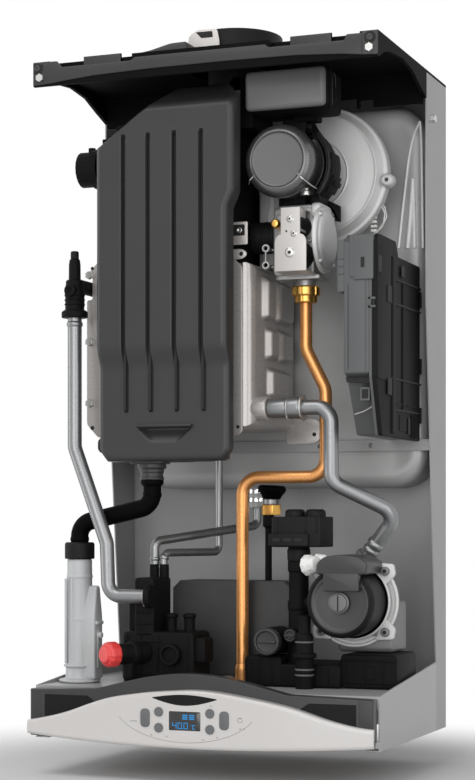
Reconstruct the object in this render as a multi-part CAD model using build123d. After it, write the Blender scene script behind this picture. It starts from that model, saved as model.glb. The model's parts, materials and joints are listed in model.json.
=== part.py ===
from build123d import *
import math
import os

# Wall-hung combi boiler with its front casing taken off.
# Frame: X to the right, Y towards the wall, Z up, millimetres. Heights below are written from the
# underside of the chassis; the finished solids are lowered so that the origin lies between the
# two wall-hanging slots, on the wall plane.

# ---------------------------------------------------------------- chassis
WIDTH = 400.0
HEIGHT = 751.0
DEPTH = 272.0
HALF = WIDTH / 2
SHEET = 1.5
HANG_HEIGHT = HEIGHT - 12.0
HANG_SPACING = 320.0
HANG_SLOT_LENGTH = 24.0
HANG_SLOT_RADIUS = 5.0
FLANGE_DEPTH = 84.0
FLANGE_FOOT = 43.0
FLANGE_TAPER_TOP = 490.0
TOP_SKIN = 3.0
TOP_BAR_HEIGHT = 27.0
TOP_STEP = 6.0
TOP_RING = 4.0
WEB_DROP = 38.0
DECK_HEIGHT = 58.0
WING_RISE = 21.0
TRAY_FRONT = DEPTH - 6.0
RAIL_HEIGHT = 328.0
RAIL_WIDTH = 13.0
SCREW_FLATS = 8.0
SCREW_HEAD = 4.0

# Round sections are drawn with flats, between these two numbers of them.
FEWEST, MOST = 8, 24

# Gaps between neighbours: parts of different bodies, running fits, and seated parts.
APART = 0.3
RUNNING = 0.05
SEAT = 0.2

# ---------------------------------------------------------------- flue
FLUE_Y = -162.0
FLUE_OUTER = 52.0
FLUE_OUTER_WALL = 1.7
FLUE_INNER = 30.3
FLUE_INNER_WALL = 1.7
FLUE_RISE = 34.0
DUCT_TOP = 704.0
TEST_PORT = (-150.0, -150.0, 652.0)

# ---------------------------------------------------------------- heat exchanger
SHELL_X = (-160.0, 36.0)
SHELL_Y = (-200.0, -65.0)
SHELL_Z = (345.0, 528.0)
SHELL_WALL = 1.5
SHELL_FLANGE = 8.0
SHELL_FLANGE_THICK = 2.0
SHELL_BEVEL = 14.0
PAD_RISE = 7.0
PADS = ((-160.0, 490.0, 30.0, 50.0), (-108.0, 490.0, 50.0, 50.0), (-150.0, 440.0, 26.0, 34.0),
        (-108.0, 440.0, 32.0, 34.0), (-126.0, 396.0, 66.0, 34.0))
COIL_RADIUS = 78.0
COIL_TUBE = 13.0
COIL_TURNS = 3
COIL_SIDES = 12
BURNER_RADIUS = 34.0
BURNER_LENGTH = 95.0
ELECTRODE_RADIUS = 4.0
ELECTRODE_RISE = 48.0

COLLECTOR_X = (-135.0, 30.0)
COLLECTOR_FRONT = -250.0
COLLECTOR_STEP = 9.0
COLLECTOR_FOLD = 422.0
COLLECTOR_CREASE = 697.0
COLLECTOR_TOP = 725.0
COLLECTOR_BOTTOM = 307.0
COLLECTOR_KINK = 590.0
COLLECTOR_WAIST = 8.0
COLLECTOR_CHAMFER = (59.0, 42.0)
COLLECTOR_WALL = 3.0
GROOVE_X = (-101.0, -71.0, -40.0, -8.0)
GROOVE_WIDTH = 3.4
GROOVE_DEPTH = 4.0
GROOVE_Z = (362.0, 667.0)
DRAIN_X = -82.0
DRAIN_Y = -212.0

# ---------------------------------------------------------------- fan and air path
FAN_X = 70.0
FAN_Z = 634.0
SCROLL_X = 91.0
SCROLL_RADIUS = 78.0
SCROLL_Y = (-132.0, -90.0)
SCROLL_WALL = 4.0
IMPELLER_RADIUS = 50.0
IMPELLER_BLADES = 9
SHAFT_RADIUS = 4.0
MOTOR_RADIUS = 37.0
MOTOR_CAP_RADIUS = 40.0
MOTOR_FRONT = -222.0
SILENCER_X = (35.0, 134.0)
SILENCER_Y = (-230.0, -168.0)
SILENCER_Z = (687.0, 732.0)
DUCT_INNER = 44.0
DUCT_OUTER = 60.0
DUCT_CHORDS = 10

# ---------------------------------------------------------------- gas line
GAS_Y = -165.0
VALVE_X = 84.0
VALVE_Z = (512.0, 588.0)
COIL_CAN_RADII = (16.0, 13.0)
COIL_CAN_RISE = (21.0, 53.0)
MODULATOR_RADIUS = 18.0
MODULATOR_LENGTH = 30.0
PLUNGER_RADIUS = 5.0
PLUNGER_TRAVEL = 2.5
DIAPHRAGM_RADIUS = 37.5
UNION_FLATS = 28.0
UNION_TOP = VALVE_Z[0] - 10.5
UNION_TIERS = (11.0, 8.0)
GAS_PIPE_RADIUS = 7.0
GAS_RUN_X = VALVE_X + 23.0

# ---------------------------------------------------------------- water pipes
WATER_PIPE_RADIUS = 8.5
FLOW_PIPE_RADIUS = 8.0
RETURN_PORT = (47.0, -183.0, 366.0)
PORT_RADIUS = 14.0
BARREL_LENGTHS = (22.5, 16.5)
PIPE_BEND = 20.0
PIPE_SIDES = 10
BEND_STEP = 30.0
CLIP_THICK = 1.6
MANIFOLD_SOCKET_X = -100.0
MANIFOLD_SOCKET_Z = 157.0
HOSE_RADIUS = 10.0
VENT_X = -169.5
VENT_Y = -230.0
VENT_ELBOW_Z = 507.0
VENT_FOOT_Z = 470.0
VENT_PIN_RADIUS = 2.5

# ---------------------------------------------------------------- siphon
SIPHON_X = -172.0
SIPHON_Y = DRAIN_Y
SIPHON_TOP = 198.0
SIPHON_RADIUS = 15.0
SIPHON_NUT_RADIUS = 17.0

# ---------------------------------------------------------------- hydraulic block
TAIL_PITCH = 60.0
TAIL_MIDDLE_X = 8.2
TAIL_Y = -165.0
TAIL_DROP = 3.0
TAIL_34_RADIUS = 13.2
TAIL_12_RADIUS = 10.5
TAIL_WALL = 2.2
TAIL_NUT = 8.0
PLATE_X = (-84.0, 60.0)
PLATE_Y = (-148.0, -98.0)
PLATE_Z = (66.0, 173.0)
PLATE_GROOVES = 4
PUMP_X = 139.0
PUMP_Z = 152.5
PUMP_CAN_RADIUS = 38.0
PUMP_CAN_Y = (-215.0, -168.0)
PUMP_EAR = 38.0
VOLUTE_Y = (-160.0, -104.0)
ROTOR_RADIUS = 24.0
FILTER_PLACE = (51.0, -196.0, 108.0)
FILTER_PIN = 6.0
DRAIN_PLACE = (75.5, -190.0, 115.0)
DRAIN_PIN = 3.0
SPINDLE_X = 78.0
SPINDLE_Y = -172.0
SPINDLE_TOP = 196.0
SPINDLE_RADIUS = 4.0
SPINDLE_TRAVEL = 6.0
SAFETY_AXIS = (-0.5, -0.866, 0.0)
KNOB_RADIUS = 14.5
KNOB_PIN = 3.0
VALVE_NOSE = 20.0

# ---------------------------------------------------------------- vessel and electronics
VESSEL_X = (-HALF + 28.0, HALF - 7.0)
VESSEL_Y = (SHELL_Y[1] + 2 * SHEET, -4.0)
VESSEL_Z = (280.0, 710.0)
VESSEL_CORNER = 46.0
VESSEL_EDGE = 12.0
VESSEL_WALL = 1.8
VESSEL_PORT = (-22.0, -36.0, 257.0)
BOX_X = (HALF - 50.0, HALF - 13.0)
BOX_Y = (-235.0, VESSEL_Y[0] - 2 * SHEET)
BOX_Z = (332.0, 547.0)
BOX_WALL = 2.0
LID_DEPTH = 5.0

# ---------------------------------------------------------------- control panel
PANEL_BACK = -TRAY_FRONT - 2.0
PANEL_PIVOT = (PANEL_BACK - 8.0, 8.0)
PIVOT_RADIUS = 2.5
PIVOT_EYE = 4.0
PIVOT_LENGTH = 6.0
BEZEL_FRONT = PANEL_BACK - 16.0
FASCIA_BULGE = 16.0
FASCIA_END = 4.0
FASCIA_WALL = 3.0
EDGE_CHORDS = 20
BEZEL_TOP = 58.0
BEZEL_ARCH = 19.0
DISPLAY_SIZE = (36.0, 20.0)
DISPLAY_CENTRE = (-6.0, 28.0)
BUTTON_TRAVEL = 0.8
BUTTON_RADIUS = 5.2
ROCKER_SIZE = (11.0, 20.0)
ROUND_BUTTONS = {"mode_button": (-36.0, 37.0), "reset_button": (-36.0, 20.0),
                 "auto_button": (23.0, 37.0), "power_button": (23.0, 20.0)}
ROCKERS = {"heating_rocker": (-52.0, 30.0), "water_rocker": (39.0, 30.0)}

FRAME_TOP = HEIGHT - TOP_SKIN


# ---------------------------------------------------------------- shapes used over and over
def block(x, y, z):
    """Block between the two limits given along each axis."""
    size = [high - low for low, high in (x, y, z)]
    middle = [(high + low) / 2 for low, high in (x, y, z)]
    return Pos(*middle) * Box(*size)


def flats(radius):
    """Number of flats that a round section of this radius is drawn with."""
    return max(FEWEST, min(MOST, 4 * round(math.sqrt(radius))))


def rod(start, direction, radius, length):
    """Round bar from a point along a direction, drawn with many flats."""
    section = RegularPolygon(radius, flats(radius))
    return extrude(Plane(origin=start, z_dir=direction) * section, length)


def bore(start, direction, radius, length):
    """Round hole whose flats touch the stated radius, turned so that a bar's edges face them."""
    count = flats(radius)
    section = RegularPolygon(radius, count, major_radius=False, rotation=180 / count)
    return extrude(Plane(origin=start, z_dir=direction) * section, length)


def drum(start, direction, radius, length):
    """True round bar, for sockets, tails and fits that a stranger's part goes on."""
    return extrude(Plane(origin=start, z_dir=direction) * Circle(radius), length)


def nosed(start, direction, radius, length, inset, depth):
    """Round bar whose far end narrows by an inset over a depth."""
    bar = rod(start, direction, radius, length)
    end = bar.faces().sort_by(Axis(start, direction))[-1]
    return chamfer(end.edges(), inset * math.cos(math.pi / flats(radius)), depth, reference=end)


def prism(start, direction, flats, length, sides=6):
    """Bar with flat sides, such as a nut, measured across its flats."""
    section = RegularPolygon(flats / 2, sides, major_radius=False)
    return extrude(Plane(origin=start, z_dir=direction) * section, length)


def side_plate(outline, x):
    """Plate with an outline of (y, z) points, between two limits along X."""
    face = Plane(origin=(x[0], 0, 0), x_dir=(0, 1, 0), z_dir=(1, 0, 0)) * make_face(
        Polyline(*outline, close=True))
    return extrude(face, x[1] - x[0])


def front_plate(outline, y):
    """Plate with an outline of (x, z) points, between two limits along Y."""
    face = Plane(origin=(0, y[1], 0), x_dir=(1, 0, 0), z_dir=(0, -1, 0)) * make_face(
        Polyline(*outline, close=True))
    return extrude(face, y[1] - y[0])


def bent_line(points, bend):
    """Points of a route whose corners are turned on arcs of one bend radius, in short chords."""
    route = [Vector(*point) for point in points]
    line = [route[0]]
    for before, corner, after in zip(route, route[1:], route[2:]):
        back, ahead = (before - corner).normalized(), (after - corner).normalized()
        turn = math.pi - math.radians(back.get_angle(ahead))
        reach = bend * math.tan(turn / 2)
        centre = corner + (back + ahead).normalized() * math.hypot(bend, reach)
        start, end = corner + back * reach - centre, corner + ahead * reach - centre
        steps = max(2, round(math.degrees(turn) / BEND_STEP))
        for k in range(steps + 1):
            share = turn * k / steps
            line.append(centre + start * (math.sin(turn - share) / math.sin(turn))
                        + end * (math.sin(share) / math.sin(turn)))
    return line + [route[-1]]


def pipe(points, bend, radius):
    """Round pipe along straight runs and bends."""
    line = bent_line(points, bend)
    section = Plane(origin=line[0], z_dir=line[1] - line[0]) * RegularPolygon(radius, PIPE_SIDES)
    return sweep(section, path=Polyline(*line), transition=Transition.RIGHT)


def chords(edge, count):
    """Points that share out a curved edge in equal chords, its two ends among them."""
    return [edge @ (k / count) for k in range(count + 1)]


def both_sides(solid):
    """A solid and its mirror image on the other side of the boiler."""
    return solid + mirror(solid, about=Plane.YZ)


def group(solids):
    """Separate solids kept together as one node."""
    return Compound(children=list(solids))


# ---------------------------------------------------------------- chassis
def back_frame():
    """Sheet back wall with two tapered side flanges, hanging slots and the exchanger rail."""
    wall = block((-HALF, HALF), (-SHEET, 0), (0, FRAME_TOP))
    for side in (-1, 1):
        slot = SlotOverall(HANG_SLOT_LENGTH, 2 * HANG_SLOT_RADIUS)
        plane = Plane(origin=(side * HANG_SPACING / 2, -SHEET, HANG_HEIGHT), x_dir=(1, 0, 0),
                      z_dir=(0, 1, 0))
        wall -= extrude(plane * slot, SHEET)
    flange = side_plate(
        [(-SHEET, 0), (-FLANGE_FOOT, 0), (-FLANGE_FOOT, DECK_HEIGHT + WING_RISE),
         (-FLANGE_DEPTH, FLANGE_TAPER_TOP), (-FLANGE_DEPTH, FRAME_TOP), (-SHEET, FRAME_TOP)],
        (HALF - SHEET, HALF))
    return wall + both_sides(flange) + support_rail()


def support_rail():
    """Folded strip welded across the frame, which carries the exchanger and electronics box."""
    front = VESSEL_Y[0] - SHEET
    z = (RAIL_HEIGHT - RAIL_WIDTH / 2, RAIL_HEIGHT + RAIL_WIDTH / 2)
    strip = block((-HALF + SHEET, HALF - SHEET), (front - SHEET, front), z)
    end = block((HALF - 2 * SHEET, HALF - SHEET), (front, -SHEET), z)
    strip += both_sides(end)
    for x in (-120.0, 66.0, 128.0):
        strip -= bore((x, front - SHEET, RAIL_HEIGHT), (0, 1, 0), 2.5, SHEET)
    return strip


def bottom_tray():
    """Deck that the hydraulics stand on, with side wings and folded feet."""
    inner = HALF - SHEET
    deck = block((-inner, inner), (-TRAY_FRONT, -SHEET), (DECK_HEIGHT - SHEET, DECK_HEIGHT))
    lip = block((-inner, inner), (-TRAY_FRONT, -TRAY_FRONT + SHEET), (DECK_HEIGHT - 14, DECK_HEIGHT - SHEET))
    wing = side_plate(
        [(-FLANGE_FOOT, 0), (-TRAY_FRONT, 0), (-TRAY_FRONT, DECK_HEIGHT),
         (-FLANGE_FOOT, DECK_HEIGHT + WING_RISE)], (inner, HALF))
    foot = block((inner - 14, inner), (-TRAY_FRONT, -FLANGE_FOOT), (0, SHEET))
    y, z = PANEL_PIVOT
    eye = rod((inner, y, z), (1, 0, 0), PIVOT_EYE, SHEET)
    eye += block((inner, HALF), (y, -TRAY_FRONT), (z - PIVOT_EYE + 0.5, z + PIVOT_EYE - 0.5))
    pivot = rod((inner, y, z), (-1, 0, 0), PIVOT_RADIUS, PIVOT_LENGTH)
    tray = deck + lip + both_sides(wing + foot + eye + pivot)
    for x, radius in tail_places():
        tray -= bore((x, TAIL_Y, DECK_HEIGHT - SHEET), (0, 0, 1), radius + SEAT, SHEET)
    tray -= bore((SIPHON_X, SIPHON_Y, DECK_HEIGHT - SHEET), (0, 0, 1), TAIL_12_RADIUS + SEAT, SHEET)
    return tray


def top_frame():
    """Moulded top: skin round the flue, front bar with raised ends, arched side skirts."""
    low = HEIGHT - TOP_SKIN - TOP_STEP
    skin = block((-HALF, HALF), (-DEPTH, 0), (FRAME_TOP, HEIGHT))
    skin -= block((-HALF + 20, -80), (-DEPTH, -DEPTH + 12), (FRAME_TOP, HEIGHT))
    skin -= block((80, HALF - 20), (-DEPTH, -DEPTH + 12), (FRAME_TOP, HEIGHT))
    bar = block((-HALF, HALF), (-DEPTH, -DEPTH + 4), (HEIGHT - TOP_BAR_HEIGHT, low))
    bar += block((-HALF, HALF), (-DEPTH, -DEPTH + 14), (low - TOP_SKIN, low))
    bar += block((-HALF, HALF), (-DEPTH + 11, -DEPTH + 14), (low, FRAME_TOP))
    for x in ((-HALF, -HALF + 20), (-80, 80), (HALF - 20, HALF)):
        bar += block(x, (-DEPTH, -DEPTH + 11), (low, FRAME_TOP))
    for x in ((-141, -96), (101, 147)):
        bar += block(x, (-DEPTH + 6, -DEPTH + 9), (low, HEIGHT + 3))
    back = -FLANGE_DEPTH - SEAT
    reach = DEPTH + back
    arch = [(-DEPTH + reach * share, HEIGHT - drop) for share, drop in
            ((0.12, 18), (0.235, 13), (0.49, 9), (0.69, 13), (0.86, 24), (1.0, 32))]
    skirt = side_plate([(-DEPTH + 4, FRAME_TOP), (-DEPTH + 4, HEIGHT - TOP_BAR_HEIGHT), *arch,
                        (back, FRAME_TOP)], (HALF - 4, HALF))
    low = HEIGHT - WEB_DROP
    web = block((-HALF + 4, HALF - 4), (back - TOP_SKIN, back), (low, FRAME_TOP))
    web -= block((122, 138), (back - TOP_SKIN, back), (low, low + 9))
    web -= block((-30, 118), (back - TOP_SKIN, back), (low, low + 11))
    frame = skin + bar + both_sides(skirt) + web
    frame += rod((0, FLUE_Y, HEIGHT), (0, 0, 1), FLUE_OUTER + 16, TOP_RING)
    frame -= bore((0, FLUE_Y, FRAME_TOP), (0, 0, 1), FLUE_OUTER + SEAT, 20)
    return frame


def chassis_screws():
    """Hexagon-headed screws that hold the top frame, the exchanger and the rail."""
    heads = []
    for x in (-HALF + 9, HALF - 9):
        heads.append(prism((x, -DEPTH, HEIGHT - 18), (0, -1, 0), SCREW_FLATS, SCREW_HEAD))
    for x in (-HALF, HALF):
        away = math.copysign(1, x)
        heads.append(prism((x, -60, HEIGHT - 51), (away, 0, 0), SCREW_FLATS, SCREW_HEAD))
    front = SHELL_Y[0] - SHELL_FLANGE_THICK
    for z in (SHELL_Z[0] + 30, SHELL_Z[0] + 100, VENT_ELBOW_Z + 14):
        heads.append(prism((SHELL_X[0] - 4, front, z), (0, -1, 0), SCREW_FLATS, SCREW_HEAD))
    return group(heads)


# ---------------------------------------------------------------- flue and exchanger
def flue_adapter():
    """Concentric flue collar: outer air ring and inner exhaust socket joined by a flange."""
    outer_bore = FLUE_OUTER - FLUE_OUTER_WALL
    inner_radius = FLUE_INNER + FLUE_INNER_WALL
    base = (0, FLUE_Y, FRAME_TOP)
    collar = drum((0, FLUE_Y, HEIGHT + TOP_RING), (0, 0, 1), FLUE_OUTER, FLUE_RISE - TOP_RING)
    collar += rod(base, (0, 0, 1), FLUE_OUTER, TOP_SKIN + TOP_RING)
    collar -= bore(base, (0, 0, 1), outer_bore, TOP_SKIN + FLUE_RISE)
    foot = (0, FLUE_Y, DUCT_TOP)
    socket_length = HEIGHT + FLUE_RISE - DUCT_TOP
    socket = rod(foot, (0, 0, 1), inner_radius + SEAT, socket_length)
    socket -= drum(foot, (0, 0, 1), FLUE_INNER, socket_length)
    spokes = [Pos(0, FLUE_Y, 0) * Rot(0, 0, 90 * k + 45) * block(
        (inner_radius - 0.5, outer_bore + 0.5), (-1.5, 1.5), (FRAME_TOP, HEIGHT + 6)) for k in range(4)]
    adapter = collar + socket
    for spoke in spokes:
        adapter += spoke
    return adapter


def flue_duct():
    """Plastic exhaust duct behind the collector, with its blanked test port on the left."""
    lower = block((-150, 8), (SHELL_Y[0] + 2, SHELL_Y[1] - 16), (SHELL_Z[1], 690))
    lower = lower - block((-150, -132), (SHELL_Y[0], SHELL_Y[1]), (676, 690))
    upper = block((-60, 33), (SHELL_Y[0] + 2, SCROLL_Y[0] - 2), (676, DUCT_TOP))
    duct = lower + upper
    x, y, z = TEST_PORT
    duct += rod(TEST_PORT, (-1, 0, 0), 19, 22)
    duct += rod((x - 22, y, z), (-1, 0, 0), 23, 9)
    duct += rod((x - 31, y, z), (-1, 0, 0), 20.5, 17)
    duct += prism((x - 36, y, z + 19), (0, 0, 1), 8, 6)
    duct -= bore((0, FLUE_Y, DUCT_TOP - 14), (0, 0, 1), FLUE_INNER, 14)
    return duct


def collector_profile(inset, groove=0.0):
    """Side outline of the collector: sloping top, upright face, fold and deeper foot."""
    front = COLLECTOR_FRONT + inset + groove
    foot = front + COLLECTOR_STEP
    back = SHELL_Y[0] - SHELL_FLANGE_THICK
    return [(back, COLLECTOR_BOTTOM + inset), (foot, COLLECTOR_BOTTOM + inset),
            (foot, COLLECTOR_FOLD - 5), (front, COLLECTOR_FOLD + 7),
            (front, COLLECTOR_CREASE - inset), (back, COLLECTOR_TOP - inset)]


def collector_outline(inset):
    """Front outline of the collector, with its cut shoulder and its narrow waist."""
    left, right = COLLECTOR_X[0] + inset, COLLECTOR_X[1] - inset
    across, down = COLLECTOR_CHAMFER
    top, bottom = COLLECTOR_TOP + 5, COLLECTOR_BOTTOM + inset
    shoulder = COLLECTOR_CREASE - inset - down
    return [(left + 8, bottom), (right - COLLECTOR_WAIST - 8, bottom),
            (right - COLLECTOR_WAIST, bottom + 8), (right - COLLECTOR_WAIST, COLLECTOR_KINK - 8),
            (right, COLLECTOR_KINK + 8), (right, top), (left + across + 18, top),
            (left + across, COLLECTOR_CREASE - inset), (left, shoulder), (left, bottom + 8)]


def collector_form(inset, groove=0.0):
    """Solid form of the collector, drawn in all round by an inset."""
    back = SHELL_Y[0] - SHELL_FLANGE_THICK
    body = side_plate(collector_profile(inset, groove), COLLECTOR_X)
    return body & front_plate(collector_outline(inset), (COLLECTOR_FRONT - 1, back))


def flue_collector():
    """Moulded cover in front of the exchanger that gathers flue gas and condensate."""
    form = collector_form(0)
    skin = form - collector_form(GROOVE_DEPTH / 2, GROOVE_DEPTH / 2)
    for x in GROOVE_X:
        form -= skin & block((x - GROOVE_WIDTH / 2, x + GROOVE_WIDTH / 2),
                             (COLLECTOR_FRONT - 1, SHELL_Y[0] - 20), GROOVE_Z)
    form -= collector_form(GROOVE_DEPTH + COLLECTOR_WALL)
    back = SHELL_Y[0] - SHELL_FLANGE_THICK
    rim_x = (COLLECTOR_X[0] - 5, COLLECTOR_X[1] - COLLECTOR_WAIST + 6)
    rim = block(rim_x, (back - 5, back), (COLLECTOR_BOTTOM + 2, COLLECTOR_FOLD))
    form += rim - block((COLLECTOR_X[0] + 5, COLLECTOR_X[1] - 14), (back - 5, back),
                        (COLLECTOR_BOTTOM + 8, COLLECTOR_FOLD))
    for x, side in ((COLLECTOR_X[0] - 5, -1), (COLLECTOR_X[1] - COLLECTOR_WAIST + 6, 1)):
        ear = block(sorted((x, x + side * 12)), (back - 5, back), (318, 336))
        form += ear - bore((x + side * 6, back - 5, 327), (0, 1, 0), 2.5, 5)
    scoop = front_plate([(-88, 346), (-21, 346), (-32, 333), (-54, 329), (-77, 333)],
                        (COLLECTOR_FRONT - 1, COLLECTOR_FRONT + COLLECTOR_STEP + 4))
    form -= scoop
    drain = rod((DRAIN_X, DRAIN_Y, COLLECTOR_BOTTOM - 7), (0, 0, 1), 16, 7)
    drain += rod((DRAIN_X, DRAIN_Y, COLLECTOR_BOTTOM - 20), (0, 0, 1), 13.5, 13)
    form += block((DRAIN_X - 20, DRAIN_X + 20), (back - 30, back), (COLLECTOR_BOTTOM, COLLECTOR_BOTTOM + 3))
    return form + drain - bore((DRAIN_X, DRAIN_Y, COLLECTOR_BOTTOM - 20), (0, 0, 1), 8, 34)


def shell_form(inset, cut):
    """Box form of the casing, drawn in by an inset, with cut edges and a bevelled front corner."""
    form = block((SHELL_X[0] + inset, SHELL_X[1] - inset), (SHELL_Y[0], SHELL_Y[1] - inset),
                 (SHELL_Z[0] + inset, SHELL_Z[1] - inset))
    form = chamfer(form.edges().filter_by(Axis.Y), cut)
    corner = form.edges().filter_by(Axis.Z).group_by(Axis.Y)[0].sort_by(Axis.X)[-1]
    return chamfer(corner, SHELL_BEVEL)


def exchanger_shell():
    """Pressed steel casing of the primary exchanger: flanged box with stiffening pads."""
    body = shell_form(0, 10) - shell_form(SHELL_WALL, 10 - SHELL_WALL / 2)
    reach = SHELL_FLANGE
    cut = 14
    x0, x1 = SHELL_X[0] - reach, SHELL_X[1] - SHELL_BEVEL
    z0, z1 = SHELL_Z[0] - reach, SHELL_Z[1] + reach
    flange = front_plate(
        [(x0 + cut, z0), (x1 - cut, z0), (x1, z0 + cut), (x1, z1 - cut), (x1 - cut, z1),
         (x0 + cut, z1), (x0, z1 - cut), (x0, z0 + cut)],
        (SHELL_Y[0] - SHELL_FLANGE_THICK, SHELL_Y[0]))
    flange -= block((SHELL_X[0] + 10, x1 - 10), (SHELL_Y[0] - SHELL_FLANGE_THICK, SHELL_Y[0]),
                    (SHELL_Z[0] + 10, SHELL_Z[1] - 10))
    shell = body + flange
    side = SHELL_X[1]
    for y, z, wide, high in PADS:
        pad = block((side - SHELL_WALL, side + PAD_RISE), (y - wide / 2, y + wide / 2), (z - high / 2, z + high / 2))
        face = pad.faces().sort_by(Axis.X)[-1]
        shell += chamfer(face.edges(), PAD_RISE * 0.6, PAD_RISE, reference=face)
    x, y, z = RETURN_PORT
    neck = x - side + SHELL_BEVEL
    shell += rod((x - neck, y, z), (1, 0, 0), PORT_RADIUS, neck)
    shell -= bore((x - neck - SHELL_BEVEL, y, z), (1, 0, 0), WATER_PIPE_RADIUS - 1.5, neck + SHELL_BEVEL)
    shell -= bore((SHELL_X[0], -150, VENT_ELBOW_Z), (1, 0, 0), 6, SHELL_WALL)
    shell -= bore((-64, -134, SHELL_Z[1] - SHELL_WALL), (0, 0, 1), 28, SHELL_WALL)
    shell -= bore((-50, -90, SHELL_Z[0]), (0, 0, 1), 3, SHELL_WALL)
    shell -= block((SHELL_X[0] - SHELL_FLANGE, SHELL_X[0] - 1), (SHELL_Y[0] - 3, SHELL_Y[0]),
                   (VENT_ELBOW_Z - 14, VENT_ELBOW_Z + 14))
    ear = block((SHELL_X[1] - 10, SHELL_X[1] + 32), (SHELL_Y[1] - SHELL_WALL, SHELL_Y[1]),
                (SHELL_Z[0] - 14, SHELL_Z[0] + 16))
    ear -= bore((SHELL_X[1] + 24, SHELL_Y[1] - SHELL_WALL, SHELL_Z[0] - 4), (0, 1, 0), 3, SHELL_WALL)
    shell += ear
    y = (SHELL_Y[0] - SHELL_FLANGE_THICK, SHELL_Y[0])
    shell += block((-12, 8), y, (SHELL_Z[1], SHELL_Z[1] + 44))
    shell += block((8, 29), y, (SHELL_Z[1] + 18, SHELL_Z[1] + 44))
    return shell + block((8, 28), y, (SHELL_Z[1] + 2, SHELL_Z[1] + 14))


def coil_centre():
    """Middle of the round combustion chamber, (x, z)."""
    return (SHELL_X[0] + SHELL_X[1]) / 2, (SHELL_Z[0] + SHELL_Z[1]) / 2


def exchanger_coil():
    """Stack of flattened tube turns round the burner, shown as one grooved jacket."""
    x, z = coil_centre()
    length = SHELL_Y[1] - SHELL_Y[0] - 30
    start = (x, SHELL_Y[0] + 12, z)
    across = 2 * (COIL_RADIUS - 1)
    jacket = prism(start, (0, 1, 0), across - 10, length, COIL_SIDES)
    turn = length / COIL_TURNS
    for k in range(COIL_TURNS):
        jacket += prism((x, start[1] + k * turn + 1, z), (0, 1, 0), across, turn - 2, COIL_SIDES)
    foot = block((x - 40, x + 40), (SHELL_Y[0] + 14, SHELL_Y[1] - 22),
                 (SHELL_Z[0] + SHELL_WALL, z - COIL_RADIUS + 10))
    return jacket + foot - prism(start, (0, 1, 0), 2 * (COIL_RADIUS - COIL_TUBE), length, COIL_SIDES)


def burner_tube():
    """Round premix burner on its door plate."""
    x, z = coil_centre()
    door = prism((x, SHELL_Y[0] + 6, z), (0, 1, 0), 2 * (COIL_RADIUS - 2), 6, 12)
    tube = rod((x, SHELL_Y[0] + 12, z), (0, 1, 0), BURNER_RADIUS, BURNER_LENGTH)
    tube -= rod((x, SHELL_Y[0] + 12, z), (0, 1, 0), BURNER_RADIUS - 2, BURNER_LENGTH - 2)
    door -= bore((x, SHELL_Y[0] + 6, z + ELECTRODE_RISE), (0, 1, 0), ELECTRODE_RADIUS, 6)
    return door + tube


def ignition_electrode():
    """Ceramic ignition electrode through the burner door, with its collar and bent-free pin."""
    x, z = coil_centre()
    door = SHELL_Y[0] + 6
    place = (x, door - 16, z + ELECTRODE_RISE)
    ceramic = rod(place, (0, 1, 0), ELECTRODE_RADIUS, 34)
    collar = prism((x, door - 3, place[2]), (0, 1, 0), 13, 3)
    pin = rod((x, place[1] + 34, place[2]), (0, 1, 0), 1.2, 16)
    return ceramic + collar + pin


# ---------------------------------------------------------------- fan and air path
def fan_scroll():
    """Cast fan housing: eccentric drum with a rim, raised rings, a boss and an outlet duct."""
    length = SCROLL_Y[1] - SCROLL_Y[0]
    start = (SCROLL_X, SCROLL_Y[0], FAN_Z)
    scroll = rod(start, (0, 1, 0), SCROLL_RADIUS - 5, length)
    scroll += rod((SCROLL_X, SCROLL_Y[0] + 12, FAN_Z), (0, 1, 0), SCROLL_RADIUS, 7)
    scroll += block((13, SHELL_X[1] - 1), (SCROLL_Y[0] + 4, SCROLL_Y[1]), (SHELL_Z[1], FAN_Z))
    boss_z = FAN_Z - 10
    boss_x = SCROLL_X + SCROLL_RADIUS + 1
    scroll += rod((boss_x, SCROLL_Y[0] + 9, boss_z), (0, 1, 0), 7, 10)
    scroll -= bore((boss_x, SCROLL_Y[0] + 9, boss_z), (0, 1, 0), 2.2, 10)
    cavity = (FAN_X, SCROLL_Y[0] + SCROLL_WALL, FAN_Z)
    scroll -= bore(cavity, (0, 1, 0), IMPELLER_RADIUS + 3, length - 2 * SCROLL_WALL)
    return scroll - bore((FAN_X, SCROLL_Y[0], FAN_Z), (0, 1, 0), SHAFT_RADIUS + RUNNING, SCROLL_WALL)


def fan_impeller():
    """Backward-curved fan wheel on its shaft."""
    y0 = SCROLL_Y[0] + SCROLL_WALL + 3
    wheel = rod((FAN_X, y0, FAN_Z), (0, 1, 0), IMPELLER_RADIUS, 2)
    wheel += rod((FAN_X, y0, FAN_Z), (0, 1, 0), 10, 24)
    for k in range(IMPELLER_BLADES):
        blade = Rot(0, 360 / IMPELLER_BLADES * k, 0) * Pos(IMPELLER_RADIUS * 0.72, 0, 0) * Rot(0, 35, 0) * Box(
            24, 24, 1.6)
        wheel += Pos(FAN_X, y0 + 12, FAN_Z) * blade
    return wheel + rod((FAN_X, SCROLL_Y[0] - 24, FAN_Z), (0, 1, 0), SHAFT_RADIUS, 24 + SCROLL_WALL + 4)


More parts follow.
